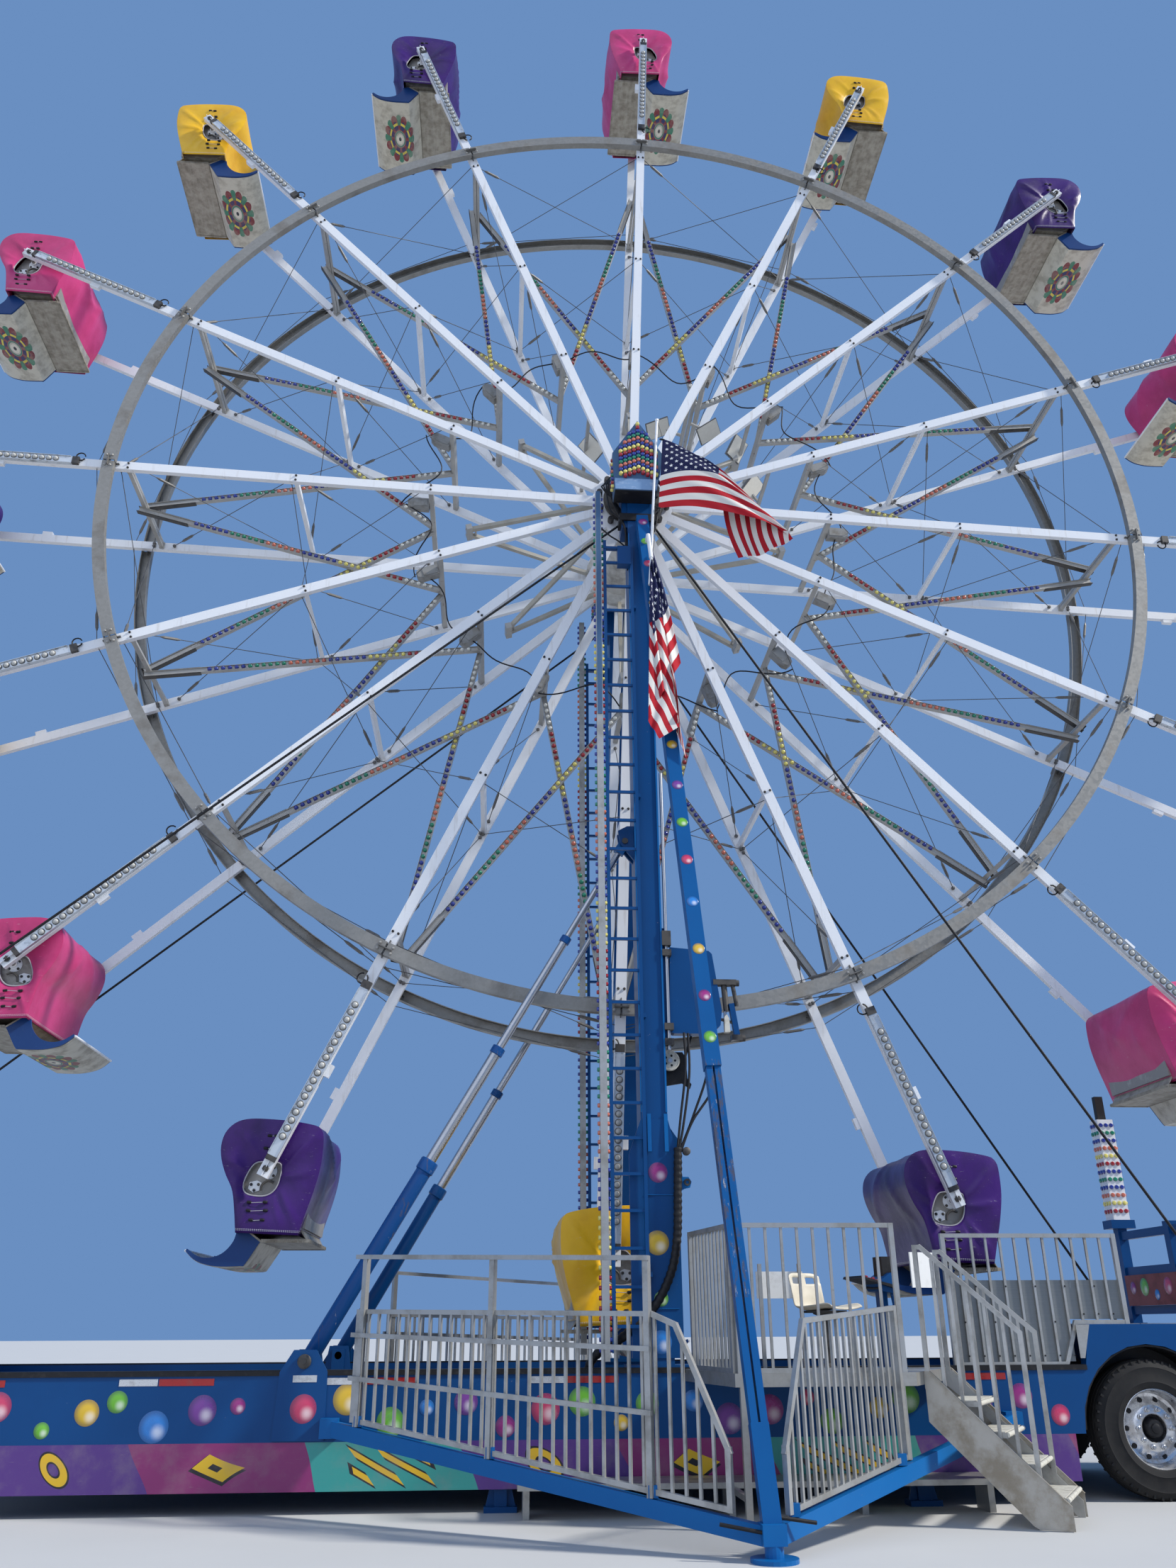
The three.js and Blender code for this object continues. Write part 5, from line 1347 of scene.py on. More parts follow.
def between(t, low, middle, high, at=7 / 13):
    """A quadratic in t through low at 0, middle at `at` and high at 1, for rows of points."""
    low, middle, high = (np.asarray(v, float) for v in (low, middle, high))
    bend = (middle - low - at * (high - low)) / (at * at - at)
    return low + (high - low - bend) * t[..., None] + bend * t[..., None] ** 2


def upper_flag():
    """The flag streams from its hoist and folds over a crest that runs from s = 0.42 on its top edge to its
    lower fly corner. Before the crest a stripe is a bow (1-w)^2 a + 2 w (1-w) b + w^2 c, with ripples that
    grow along it, and past the crest it hangs down behind to the fly edge."""
    rows, columns = 60, 110
    s, t = np.meshgrid(np.linspace(0, 1, columns), np.linspace(0, 1, rows))
    crest = 0.42 + 0.58 * t
    w = np.minimum(s / crest, 1)
    v = np.where(t < 0.999, np.maximum(s - crest, 0) / np.maximum(1 - crest, 0.01), 0)
    a = beside_pole(10.39 - 0.955 * t)
    b = between(t, (0.571, -1.64, 10.235), (0.847, -1.72, 10.079), (0.933, -1.66, 9.543))
    c = between(t, (0.924, -1.58, 9.963), (1.321, -1.56, 9.504), (1.659, -1.60, 9.114))
    d = between(t, (1.065, -1.46, 8.93), (1.40, -1.50, 8.99), (1.655, -1.585, 9.11))
    share = w[..., None]
    points = (1 - share) ** 2 * a + 2 * share * (1 - share) * b + share ** 2 * c + v[..., None] * (d - c)
    ripple = 0.022 * w ** 1.5 * np.sin(2 * np.pi * (3.1 * t - 1.9 * w))
    ripple += 0.008 * w * np.sin(2 * np.pi * (6.3 * t - 3.1 * w))
    hang = 0.022 * np.sin(2 * np.pi * (2.2 * t + 0.4 * v)) * v
    points[..., 1] += ripple * (1 - v) + hang + 0.06 * np.sin(np.pi * v) * (1 - t)
    points[..., 0] -= 0.055 * np.sin(np.pi * v) * (1 - t)
    points[..., 2] += 0.012 * w * np.sin(2 * np.pi * (1.6 * w + 0.9 * t))
    cloth(points, rows, columns, "upper_flag_cloth", "upper_flag")


def lower_flag():
    """The second flag hangs limp by its upper hoist corner. Each stripe falls from the hoist edge h, goes
    round a fold l on the left, crosses the front to a second fold r and falls behind it to the fly edge: h +
    (l-h) p + (r-l) q + (e-r) u, where p, q and u are its clipped shares of the three stretches. Pleats along
    the hang add depth times sin(pi q) squared times sin(2 pi (1.6q + 0.3t)) to the front, and the like to the
    layers behind."""
    rows, columns = 70, 130
    s, t = np.meshgrid(np.linspace(0, 1, columns), np.linspace(0, 1, rows))
    last = 0.657
    left, right = 0.0935 + 0.795 * t, np.minimum(0.197 + 1.222 * t, 1)
    upper, lower = np.minimum(t / last, 1)[..., None], np.maximum(t - last, 0)[..., None] / (1 - last)
    h = between(t, (0.10, -1.660, 8.82), (0.217, -1.851, 8.018), (0.29, -2.03, 7.25))
    l = np.array([0.035, -1.844, 8.472]) + t[..., None] * (-0.124, -0.477, -2.021)
    r = np.array([0.102, -1.896, 8.252]) + upper * (0.105, -0.435, -1.855) + lower * (-0.201, -0.038, -0.155)
    e = np.array([0.262, -2.31, 6.06]) + upper * (-0.09, 0.0, 0.30)
    p = np.clip(s / left, 0, 1)[..., None]
    q = np.clip((s - left) / (right - left), 0, 1)[..., None]
    u = np.where(t < last, np.clip((s - right) / np.maximum(1 - right, 0.02), 0, 1), 0)[..., None]
    points = h + (l - h) * p + (r - l) * q + (e - r) * u
    p, q, u = p[..., 0], q[..., 0], u[..., 0]
    front = 0.022 * np.sin(np.pi * q) ** 2 * np.sin(2 * np.pi * (1.6 * q + 0.3 * t))
    back = 0.07 * np.sin(np.pi * p) * np.sin(2 * np.pi * (2.5 * p + 0.8 * t))
    tail = 0.09 * np.sin(np.pi * u) * np.sin(2 * np.pi * (2 * u + 2 * t))
    points[..., 1] -= front + back + tail
    for _ in range(2):
        points[:, 1:-1] = (points[:, :-2] + 2 * points[:, 1:-1] + points[:, 2:]) / 4
    cloth(points, rows, columns, "lower_flag_cloth", "lower_flag")


def flag_fittings():
    """The white holder at the pole's foot, the halyard beside the pole, and two snap hooks at the hoist."""
    pole = turned([(0.015, 0), (0.015, 2.1), (0.021, 2.105), (0.021, 2.13), (0, 2.145)], 16).placed(
        frames_at((0.077, FLAG_Y, 8.56), (0.0625, 0, 1), (1, 0, 0)))
    piece("flag_staff", pole, WHITE, "base", smooth=40, replaces=["flag_pole"])
    holder = tube(curve([(0.055, -1.655, 9.03), (0.065, -1.69, 8.85), (0.072, -1.73, 8.68)], 10), 0.023, 14)
    lead = tube(curve([(0.072, -1.73, 8.69), (0.055, -1.76, 8.50), (0.035, -1.80, 8.30)], 10), 0.014, 10)
    yoke = bars(rectangle(0.04, 0.04), (0.05, -1.56, 9.0), (0.055, -1.66, 9.01), (1, 0, 0))
    piece("flag_holder", together(holder, lead, yoke), WHITE, "base", smooth=45)
    line = together(bars(circle(0.003, 6), (0.212, FLAG_Y, 10.68), beside_pole(10.40)),
                    bars(circle(0.003, 6), beside_pole(9.42), (0.09, FLAG_Y - 0.02, 8.70)))
    hooks = [turned([(0.006, -0.03), (0.011, -0.01), (0.011, 0.01), (0.006, 0.03)], 8).placed(
        frames_at(beside_pole(z) - (0.006, 0.0, 0), (1, 0, -0.1), (0, 1, 0))) for z in (10.38, 9.44)]
    piece("flag_halyard", together(line, *hooks), CABLE, "base", smooth=45)


def flag_cloth():
    """Stripes and a field of stars, sewn from woven nylon. A star is where
    r < half its size / (1 + depth * the saw of the angle) in each cell of a staggered grid."""
    f = Finish("flag_cloth")
    s, t = pattern_place(f)
    stripe = (t * 6.5).math("FRACT") < 0.5
    tone = f.mix(1.0 * stripe, (0.70, 0.68, 0.63), (0.40, 0.006, 0.016))
    canton = (s < 0.4) * (t < 7 / 13)
    cells = []
    for shift in (0.0, 0.5):
        x = (s / 0.4 * 6 + shift).math("FRACT") - 0.5
        y = (t * 13 / 7 * 5 + shift).math("FRACT") - 0.5
        x = x * 1.16
        turn = (y.math("ARCTAN2", x) + 0.314) / (2 * math.pi / 5)
        saw = abs(turn.math("FRACT") - 0.5) * 2
        cells.append((x * x + y * y) ** 0.5 * (1 + 1.3 * (1 - saw)) < 0.235)
    inside = (s > 0.018) * (s < 0.385) * (t > 0.02) * (t < 0.52)
    star = (cells[0] + cells[1]).math("MINIMUM", 1) * inside
    tone = f.mix(canton, tone, (0.006, 0.012, 0.062))
    tone = f.mix(star, tone, (0.80, 0.80, 0.78))
    soft = f.noise(3, 4)
    tone = f.mix(soft * 0.10, tone, (0.25, 0.20, 0.20))
    weave = f.noise(500, 2)
    return f.done(tone, roughness=0.8, height=weave + (abs((t * 13).math("FRACT") - 0.5) > 0.46),
                  strength=0.3, Specular_IOR_Level=0.12)


FLAG = flag_cloth()


# Lift cylinders, drive unit and hoses
LIFT_PIN, LIFT_EYE = np.array([-2.89, -1.12, 1.075]), np.array([-0.205, -1.12, 5.69])


def lift_cylinders():
    """A painted barrel, three chromed stages with a gland at the top of each, and pins through both eyes."""
    along = LIFT_EYE - LIFT_PIN
    way = unit(along)
    length = np.linalg.norm(along)
    frame_up = frames_at(LIFT_PIN, way, (0, 1, 0))
    barrel = turned([(0.05, 0.03), (0.070, 0.06), (0.070, 0.322 * length), (0.082, 0.324 * length),
                     (0.082, 0.340 * length), (0.076, 0.343 * length), (0.050, 0.344 * length)],
                    28).placed(frame_up)
    glands = [turned([(r - 0.012, a * length), (r, a * length + 0.006), (r, b * length - 0.006),
                      (r - 0.012, b * length)], 24).placed(frame_up)
              for r, a, b in ((0.062, 0.545, 0.560), (0.050, 0.776, 0.79))]
    stages = [turned([(r, a * length), (r, b * length)], 24).placed(frame_up)
              for r, a, b in ((0.049, 0.335, 0.548), (0.039, 0.55, 0.78), (0.030, 0.785, 0.975))]
    ears = [bars(rectangle(0.10, 0.14), LIFT_PIN - way * 0.06, LIFT_PIN + way * 0.05),
            bars(rectangle(0.07, 0.10), LIFT_EYE - way * 0.12, LIFT_EYE + way * 0.05)]
    pins = [bars(circle(0.035, 16), (-2.89, -1.335, 1.075), (-2.89, -0.985, 1.075), (1, 0, 0)),
            bars(circle(0.03, 16), (-0.205, -1.21, 5.69), (-0.205, -1.03, 5.69), (1, 0, 0))]
    head = turned([(0.055, 0), (0.055, 0.02), (0.045, 0.028), (0.02, 0.028), (0.02, 0.036), (0, 0.036)], 16)
    pins.append(head.placed(frames_at((-2.89, -1.3155, 1.075), (0, -1, 0), (1, 0, 0))))
    piece("near_lift_barrel", together(barrel, *glands), WORN_BLUE, "base", smooth=40,
          replaces=["near_lift_cylinder"])
    piece("far_lift_barrel", mirrored(together(barrel, *glands)), TOWER_BLUE, "base", smooth=40,
          replaces=["far_lift_cylinder"])
    piece("lift_stages", on_both_sides(together(*stages)), CHROME, "base", smooth=40)
    piece("lift_eyes", on_both_sides(together(*ears)), FRAME_BLUE, "base")
    piece("lift_pins", on_both_sides(together(*pins)), DARK, "base", smooth=40)


def drive_unit():
    """Blue housing on the mast's right edge, a cream rope wheel in its dark case, and two hydraulic rams."""
    outline = [(0.172, 3.80), (0.215, 3.78), (0.56, 3.78), (0.65, 3.86), (0.67, 4.00), (0.60, 4.54),
               (0.57, 4.57), (0.20, 4.60)]
    housing = together(upright(rectangle(0.055, 0.18), 0.148, -1.17, 3.70, 4.78),
                       plate(outline, -1.24, -1.13),
                       bars(rectangle(0.05, 0.06), (0.765, -1.20, 4.07), (0.81, -1.20, 3.74), (1, 0, 0)))
    piece("drive_housing", housing, TOWER_BLUE, "base", replaces=["drive_unit"])
    hub = np.array((0.185, -1.10, 3.555))
    rope_wheel = turned([(0.022, -0.020), (0.074, -0.016), (0.079, -0.021), (0.09, -0.021), (0.09, -0.012),
                         (0.078, -0.005), (0.078, 0.005), (0.09, 0.012), (0.09, 0.021), (0.079, 0.021),
                         (0.074, 0.016), (0.022, 0.020)], 40)
    piece("rope_wheel", rope_wheel.placed(frames_at(hub, (0, -1, 0), (1, 0, 0))), CREAM,
          "base", smooth=35)
    around = np.arange(5) * 2 * np.pi / 5
    spots = hub + (0, -0.016, 0) + 0.046 * np.stack([np.cos(around), 0 * around, np.sin(around)], axis=1)
    holes = bars(circle(0.011, 12), spots, spots - (0, 0.004, 0), (1, 0, 0))
    outline = [(0.12, 3.33), (0.30, 3.36), (0.37, 3.31), (0.385, 3.35), (0.35, 3.40), (0.34, 3.60),
               (0.31, 3.645), (0.12, 3.645)]
    arm = bars(rectangle(0.03, 0.02), (0.33, -1.05, 3.58), (0.40, -1.05, 3.80))
    piece("rope_case", together(plate(outline, -1.06, -1.035), arm, holes), CABLE, "base")
    steel = [upright(circle(0.018, 14), 0.16, -1.27, 3.62, 6.4),
             bars(circle(0.013, 14), (0.70, -1.20, 3.88), (0.715, -1.20, 4.25), (1, 0, 0)),
             bars(circle(0.022, 18), hub - (0, 0.03, 0), hub + (0, 0.06, 0), (1, 0, 0))]
    piece("ram_rods", together(*steel), CHROME, "base", smooth=40)
    blocks = [upright(rectangle(0.085, 0.09), 0.16, -1.27, a, b)
              for a, b in ((3.66, 3.72), (3.80, 3.86), (4.50, 4.56), (4.60, 4.74))]
    blocks += [bars(circle(radius, 18), (a, -1.20, top), (b, -1.20, low), (1, 0, 0))
               for radius, a, top, b, low in ((0.028, 0.705, 4.26, 0.72, 4.00),
                                              (0.02, 0.785, 4.28, 0.82, 4.05))]
    blocks += [bars(rectangle(0.09, 0.05), (a, -1.20, z), (b, -1.20, z))
               for a, b, z in ((0.60, 0.82, 4.27), (0.75, 0.85, 3.75))]
    blocks += [bars(circle(0.03, 14), (a, -1.2, z), (a + 0.05, -1.2, z))
               for a, z in ((0.80, 4.27), (0.83, 3.75))]
    blocks += [bars(circle(0.014, 10), (0.64, -1.20, 3.93), (0.79, -1.20, 3.89))]
    piece("ram_blocks", together(*blocks), DARK, "base", smooth=35)
    valve = plate([(0.69, 3.80), (0.74, 3.80), (0.735, 3.93), (0.715, 3.965), (0.69, 3.94)], -1.235, -1.175)
    piece("ram_valve", valve, CREAM, "base")


def hoses():
    """Hydraulic hoses from the drive down the mast, a ribbed conduit beside it, and loops at the hub."""
    down = [curve([(0.30, -1.27, 3.78), (0.30, -1.285, 3.45), (0.235, -1.30, 3.0), (0.195, -1.32, 2.72)], 24),
            curve([(0.34, -1.25, 3.78), (0.335, -1.27, 3.4), (0.26, -1.30, 2.95), (0.205, -1.325, 2.72)], 24),
            curve([(0.47, -1.26, 3.80), (0.50, -1.30, 3.45), (0.36, -1.30, 3.05), (0.215, -1.32, 2.72)], 24),
            curve([(0.62, -1.24, 3.74), (0.55, -1.30, 3.30), (0.34, -1.31, 2.98), (0.225, -1.32, 2.72)], 24)]
    hub_turns = [curve([(-0.02 - 0.03 * n, -1.0 - 0.04 * n, 10.36),
                        (-0.24 - 0.03 * n, -1.15, 10.2 - 0.03 * n), (-0.30 - 0.02 * n, -1.22, 9.95),
                        (-0.26 + 0.02 * n, -1.25 + 0.02 * n, 9.70),
                        (-0.16 + 0.01 * n, -1.27, 9.45 - 0.07 * n), (-0.125, -1.24, 9.25 - 0.1 * n)], 30)
                 for n in range(5)]
    ring_turns = [curve([(0.28, -1.0, 10.3 - 0.02 * n), (0.33 + 0.02 * n, -1.1, 10.05),
                         (0.27, -1.2, 9.75 - 0.03 * n), (0.20, -1.24, 9.5),
                         (0.135, -1.22, 9.3 - 0.06 * n)], 24)
                  for n in range(4)]
    tubes = [tube(path, 0.011, 8) for path in down]
    loose = [curve([(-0.44, -1.36, 9.33), (-0.332, -1.385, 9.20), (-0.236, -1.385, 9.13),
                    (-0.15, -1.34, 9.085)], 20),
             curve([(-0.342, -1.22, 9.88), (-0.312, -1.3, 9.61), (-0.214, -1.32, 9.48), (-0.15, -1.31, 9.33),
                    (-0.15, -1.305, 9.10)], 28)]
    tubes += [tube(path, 0.009, 7) for path in hub_turns + ring_turns + loose]
    piece("hoses", together(*tubes), CABLE, "base", smooth=50)
    knots = [(0.20, -1.325, 2.75), (0.185, -1.335, 2.4), (0.165, -1.335, 2.0), (0.10, -1.33, 1.72),
             (-0.05, -1.31, 1.46), (-0.30, -1.22, 1.24), (-0.52, -1.10, 1.10), (-0.60, -1.05, 0.96)]
    ridges = 0.036 + 0.0035 * np.sin(2 * np.pi * np.arange(140) / 3.5)
    conduit = tube(evenly(curve(knots, 120), 140), ridges, 14)
    piece("ribbed_conduit", conduit, CABLE, "base", smooth=60)


def slip_ring():
    """The collector drum between the near star and the mast, with its clamp bolts and cable stubs."""
    drum = turned([(0.11, 0), (0.33, 0.0), (0.345, 0.01), (0.345, 0.035), (0.31, 0.04), (0.31, 0.075),
                   (0.335, 0.08), (0.335, 0.105), (0.24, 0.115), (0.22, 0.14), (0.11, 0.14)], 48)
    parts = [drum.placed(frames_at((0, side * 0.825, HUB_Z), (0, side, 0), (1, 0, 0))) for side in BOTH]
    turn = np.linspace(0, 2 * np.pi, 13)[:-1]
    bolt = turned([(0.022, 0), (0.022, 0.02), (0, 0.024)], 6)
    stub = turned([(0.03, -0.04), (0.035, -0.03), (0.035, 0.03), (0.03, 0.04)], 10)
    for side in BOTH:
        for shape, radius, shift, y in ((bolt, 0.27, 0, 0.94), (stub, 0.40, 0.2, 0.86)):
            flat = radius * np.stack([np.sin(turn + shift), np.cos(turn + shift)], -1) + (0, HUB_Z)
            spots = np.insert(flat, 1, side * y, axis=1)
            parts.append(shape.placed(frames_at(spots, (0, side, 0), (1, 0, 0))))
    piece("slip_rings", together(*parts), DARK, "wheel", smooth=35)


# Trailer
def side_paint():
    """Black top edge, paired white and red reflectors, and painted balls along both side beams."""
    edge = bars(rectangle(0.012, 0.036), (-6.3, -1.3065, 0.99), (3.6, -1.3065, 0.99))
    cap = bars(rectangle(0.10, 0.012), (-6.3, -1.25, 1.0065), (3.6, -1.25, 1.0065))
    piece("beam_edges", on_both_sides(together(edge, cap)), CABLE, "base")
    starts = np.arange(-5.95, 3.2, 1.62)
    frames = np.stack([np.stack([*np.eye(3), [x, 0, 0]]) for x in starts])
    for name, left, right, colour, slot in (("white", 0, 0.30, (0.66, 0.67, 0.68), "pole_white"),
                                            ("red", 0.31, 0.74, (0.42, 0.012, 0.012), "flag_cloth")):
        tape = plate(box_of(left, right, 0.905, 0.955), -1.3035, -1.3005).placed(frames)
        piece(f"{name}_reflectors", on_both_sides(tape), reflector(f"reflector_{name}", colour), "base")
    chance = np.random.default_rng(23)
    count = 32
    x = -6.1 + 0.302 * np.arange(count) + chance.uniform(-0.06, 0.06, count)
    z = np.array([0.78, 0.62, 0.72])[np.arange(count) % 3] + chance.uniform(-0.03, 0.03, count)
    radii = np.array([0.095, 0.115, 0.06, 0.08, 0.11])[np.arange(count) * 3 % 5]
    tints = [["blue", "pink", "green", "magenta", "yellow", "purple", "green"][n * 5 % 7]
             for n in range(count)]
    keep = np.abs(x + 2.89) > 0.30
    spots = np.stack([x, np.full(count, -1.3008), z], -1)[keep]
    tints = [t for t, k in zip(tints, keep) if k]
    balls_on_both("beam_balls", spots, radii[keep], tints)
    bracket = plate([(-3.10, 0.51), (-2.69, 0.51), (-2.70, 1.00), (-2.80, 1.16), (-2.98, 1.16),
                     (-3.08, 1.00)], -1.3165, -1.3005)
    inner = plate([(-3.06, 0.72), (-2.72, 0.72), (-2.80, 1.16), (-2.98, 1.16)], -1.02, -1.005)
    piece("lift_brackets", on_both_sides(together(bracket, inner)), TOWER_BLUE, "base")
    patch = plate(box_of(-2.97, -2.78, 0.925, 0.975), -1.3195, -1.3168)
    pale_tape = reflector("reflector_patch", (0.60, 0.62, 0.63))
    piece("bracket_patch", on_both_sides(patch), pale_tape, "base")
    balls("bracket_balls", [(-2.87, -1.3168, 0.735), (-2.87, 1.3168, 0.735)], [0.105, 0.105],
          ["pink", "green"], [(0, -1, 0), (0, 1, 0)], (1, 0, 0))


def reflector(name, colour):
    """Reflective tape: a fine net under a clear coat."""
    f = Finish(name)
    cells = f.node("ShaderNodeTexVoronoi", {"feature": "DISTANCE_TO_EDGE"}, out="Distance", Vector=f.place,
                   Scale=130)
    dirt = f.noise(12, 4).smooth(0.5, 0.75)
    tone = f.mix(cells.smooth(0.0, 0.12), tuple(0.6 * c for c in colour), colour)
    return f.done(f.mix(dirt * 0.4, tone, DIRT), roughness=0.22, metallic=0.3, Coat_Weight=0.5)


def skirt_paint():
    """Slanted fields of purple, magenta and teal with yellow diamonds, rings and zigzags, each with a dark
    edge. Every field is a stretch of x + 0.45 z, waved by a slow noise, and each motif is a distance from its
    middle."""
    f = Finish("skirt_paint")
    x, _, z = f.axes()
    slant = x + z * 0.45 + f.noise(1.1, 1) * 0.35
    cell = (slant / 1.25).math("FLOOR")
    kind = (cell / 3).math("FRACT")
    tone = f.mix(kind < 0.2, (0.035, 0.30, 0.27), (0.24, 0.022, 0.135))
    tone = f.mix(kind > 0.6, tone, (0.085, 0.030, 0.20))
    u = (slant / 1.25).math("FRACT") * 1.25 - 0.62
    v = z - 0.33
    spread = abs(u) * 0.5 + abs(v)
    round_far = (u * u + v * v) ** 0.5
    zig = abs(((u * 4 + v * 2).math("FRACT") - 0.5) * 0.16 + v * 0.8)
    shadow_u, shadow_v = u + 0.022, v + 0.018
    shadow = abs(shadow_u) * 0.5 + abs(shadow_v)
    diamond, ring = kind < 0.2, kind > 0.6
    zigzag = (1 - diamond) * (1 - ring)
    dark = ((shadow < 0.105) * diamond + (abs(round_far - 0.085) < 0.042) * ring
            + (zig < 0.046) * (abs(u) < 0.36) * zigzag).math("MINIMUM", 1)
    gold = ((spread < 0.095) * (spread > 0.03) * diamond + (abs(round_far - 0.085) < 0.028) * ring
            + (zig < 0.028) * (abs(u) < 0.33) * zigzag).math("MINIMUM", 1)
    tone = f.mix(dark, tone, (0.012, 0.01, 0.016))
    tone = f.mix(gold, tone, (0.72, 0.44, 0.015))
    dust = f.noise(5, 5, 0.6).smooth(0.45, 0.75)
    scratches = f.noise(18, 5, 0.7, f.stretched(0.6, 1, 5)).smooth(0.62, 0.72)
    tone = f.mix(dust * 0.25 + scratches * 0.2, tone, (0.30, 0.25, 0.24))
    return f.done(tone, roughness=0.32 + dust * 0.25, height=scratches, strength=0.1)


SKIRT = skirt_paint()
coat(["near_skirt", "far_skirt"], SKIRT, "skirt_paint")


def wheels():
    """Tyres with a lugged shoulder and four grooves, and ten-hole alloy rims, turned about each axle."""
    tyre_profile = [(0.292, -0.10), (0.300, -0.128), (0.36, -0.142), (0.45, -0.138), (0.497, -0.118),
                    (0.517, -0.10), (0.523, -0.085), (0.523, -0.062), (0.512, -0.060), (0.512, -0.052),
                    (0.525, -0.050), (0.525, -0.006), (0.513, -0.004), (0.513, 0.004), (0.525, 0.006),
                    (0.525, 0.050), (0.512, 0.052), (0.512, 0.060), (0.523, 0.062), (0.523, 0.085),
                    (0.517, 0.10), (0.497, 0.118), (0.470, 0.131), (0.462, 0.1375), (0.452, 0.1345),
                    (0.40, 0.142), (0.36, 0.1435), (0.352, 0.147), (0.344, 0.1435), (0.32, 0.139),
                    (0.300, 0.130), (0.292, 0.10)]
    tyre = hoop(tyre_profile, 72)
    lug = bars(rectangle(0.034, 0.018), (0, 0, 0.470), (0, 0, 0.519), (0, 1, 0))
    turn = np.linspace(0, 2 * np.pi, 49)[:-1]
    flat = 0 * turn
    ways = [(-np.sin(turn), np.cos(turn), flat), (flat, flat, flat + 1), (np.cos(turn), np.sin(turn), flat)]
    lugs = [lug.placed(np.array([*ways, (flat, flat, flat + side * 0.104)]).transpose(2, 0, 1))
            for side in BOTH]
    spots = np.array([(x, s * (SIDE_Y - 0.155), AXLE_Z) for x in AXLES for s in BOTH])
    frames = frames_at(spots, np.sign(spots[:, 1:2]) * (0, 1, 0), (1, 0, 0))
    piece("tyres", together(tyre, *lugs).placed(frames), RUBBER, "base", smooth=35,
          replaces=["front_axle", "rear_axle"])
    lip = [(0.310, 0.100), (0.306, 0.126), (0.296, 0.130), (0.288, 0.118), (0.280, 0.095), (0.272, 0.030),
           (0.262, 0.0), (0.236, -0.006), (0.205, 0.020), (0.178, 0.046), (0.170, 0.052), (0.110, 0.054),
           (0.104, 0.048), (0.104, -0.03), (0.26, -0.05), (0.29, -0.10), (0.31, -0.10)]
    piece("wheel_rims", hoop(lip, 60).placed(frames), POLISHED, "base", smooth=35)
    hub = turned([(0.112, -0.03), (0.112, 0.0), (0.085, 0.005), (0.070, 0.06), (0.060, 0.07), (0.040, 0.073),
                  (0.036, 0.085), (0.022, 0.09), (0, 0.091)], 32)
    piece("wheel_hubs", hub.placed(frames), CABLE, "base", smooth=35)
    hole_turn = 2 * np.pi * np.arange(10) / 10
    around = np.stack([np.cos(hole_turn), np.sin(hole_turn)], -1)
    holes = turned([(0.021, 0), (0.021, 0.002), (0, 0.003)], 16)
    lean = np.insert(around * 0.62, 2, 1.0, axis=1)
    hole_frames = frames_at(np.insert(around * 0.222, 2, 0.0115, axis=1), lean, (0.01, 0, 1))
    nuts = turned([(0.021, 0), (0.021, 0.018), (0.014, 0.022), (0.014, 0.04), (0, 0.043)], 6)
    nut_frames = frames_at(np.insert(around * 0.146, 2, 0.053, axis=1), (0, 0, 1), (1, 0, 0))
    piece("rim_holes", holes.placed(hole_frames).placed(frames), CABLE, "base")
    piece("wheel_nuts", nuts.placed(nut_frames).placed(frames), CHROME, "base", smooth=35)
    turn = np.linspace(0, np.pi, 25)
    ring = np.stack([np.cos(turn), np.sin(turn)], -1)
    arch = []
    section = ((0.634, -1.285), (0.634, -0.99), (0.62, -0.99), (0.62, -1.285))
    for x in AXLES:
        shell = [[(x + r * c, y, AXLE_Z + r * h) for r, y in section] for c, h in ring]
        arch += [lofted(np.array(shell)), plate([(x, 0.50), *(ring * 0.634 + (x, AXLE_Z))], -0.992, -0.986)]
    piece("wheel_arches", on_both_sides(together(*arch)), CABLE, "base")
    axles = [bars(circle(0.065, 16), (x, -1.06, AXLE_Z), (x, 1.06, AXLE_Z), (1, 0, 0)) for x in AXLES]
    seats_on = [bars(rectangle(0.10, 0.12), (x, y, 0.53), (x, y, 0.64)) for x in AXLES for y in (-0.56, 0.56)]
    piece("axle_tubes", together(*axles, *seats_on), DARK, "base", smooth=35)


def at_stand(shape, x, y, turn, z=DECK_Z):
    """The shape on the platform, or at another height, turned about its own upright."""
    c, s = math.cos(turn), math.sin(turn)
    return shape.placed([[[c, s, 0], [-s, c, 0], [0, 0, 1], [x, y, z]]])


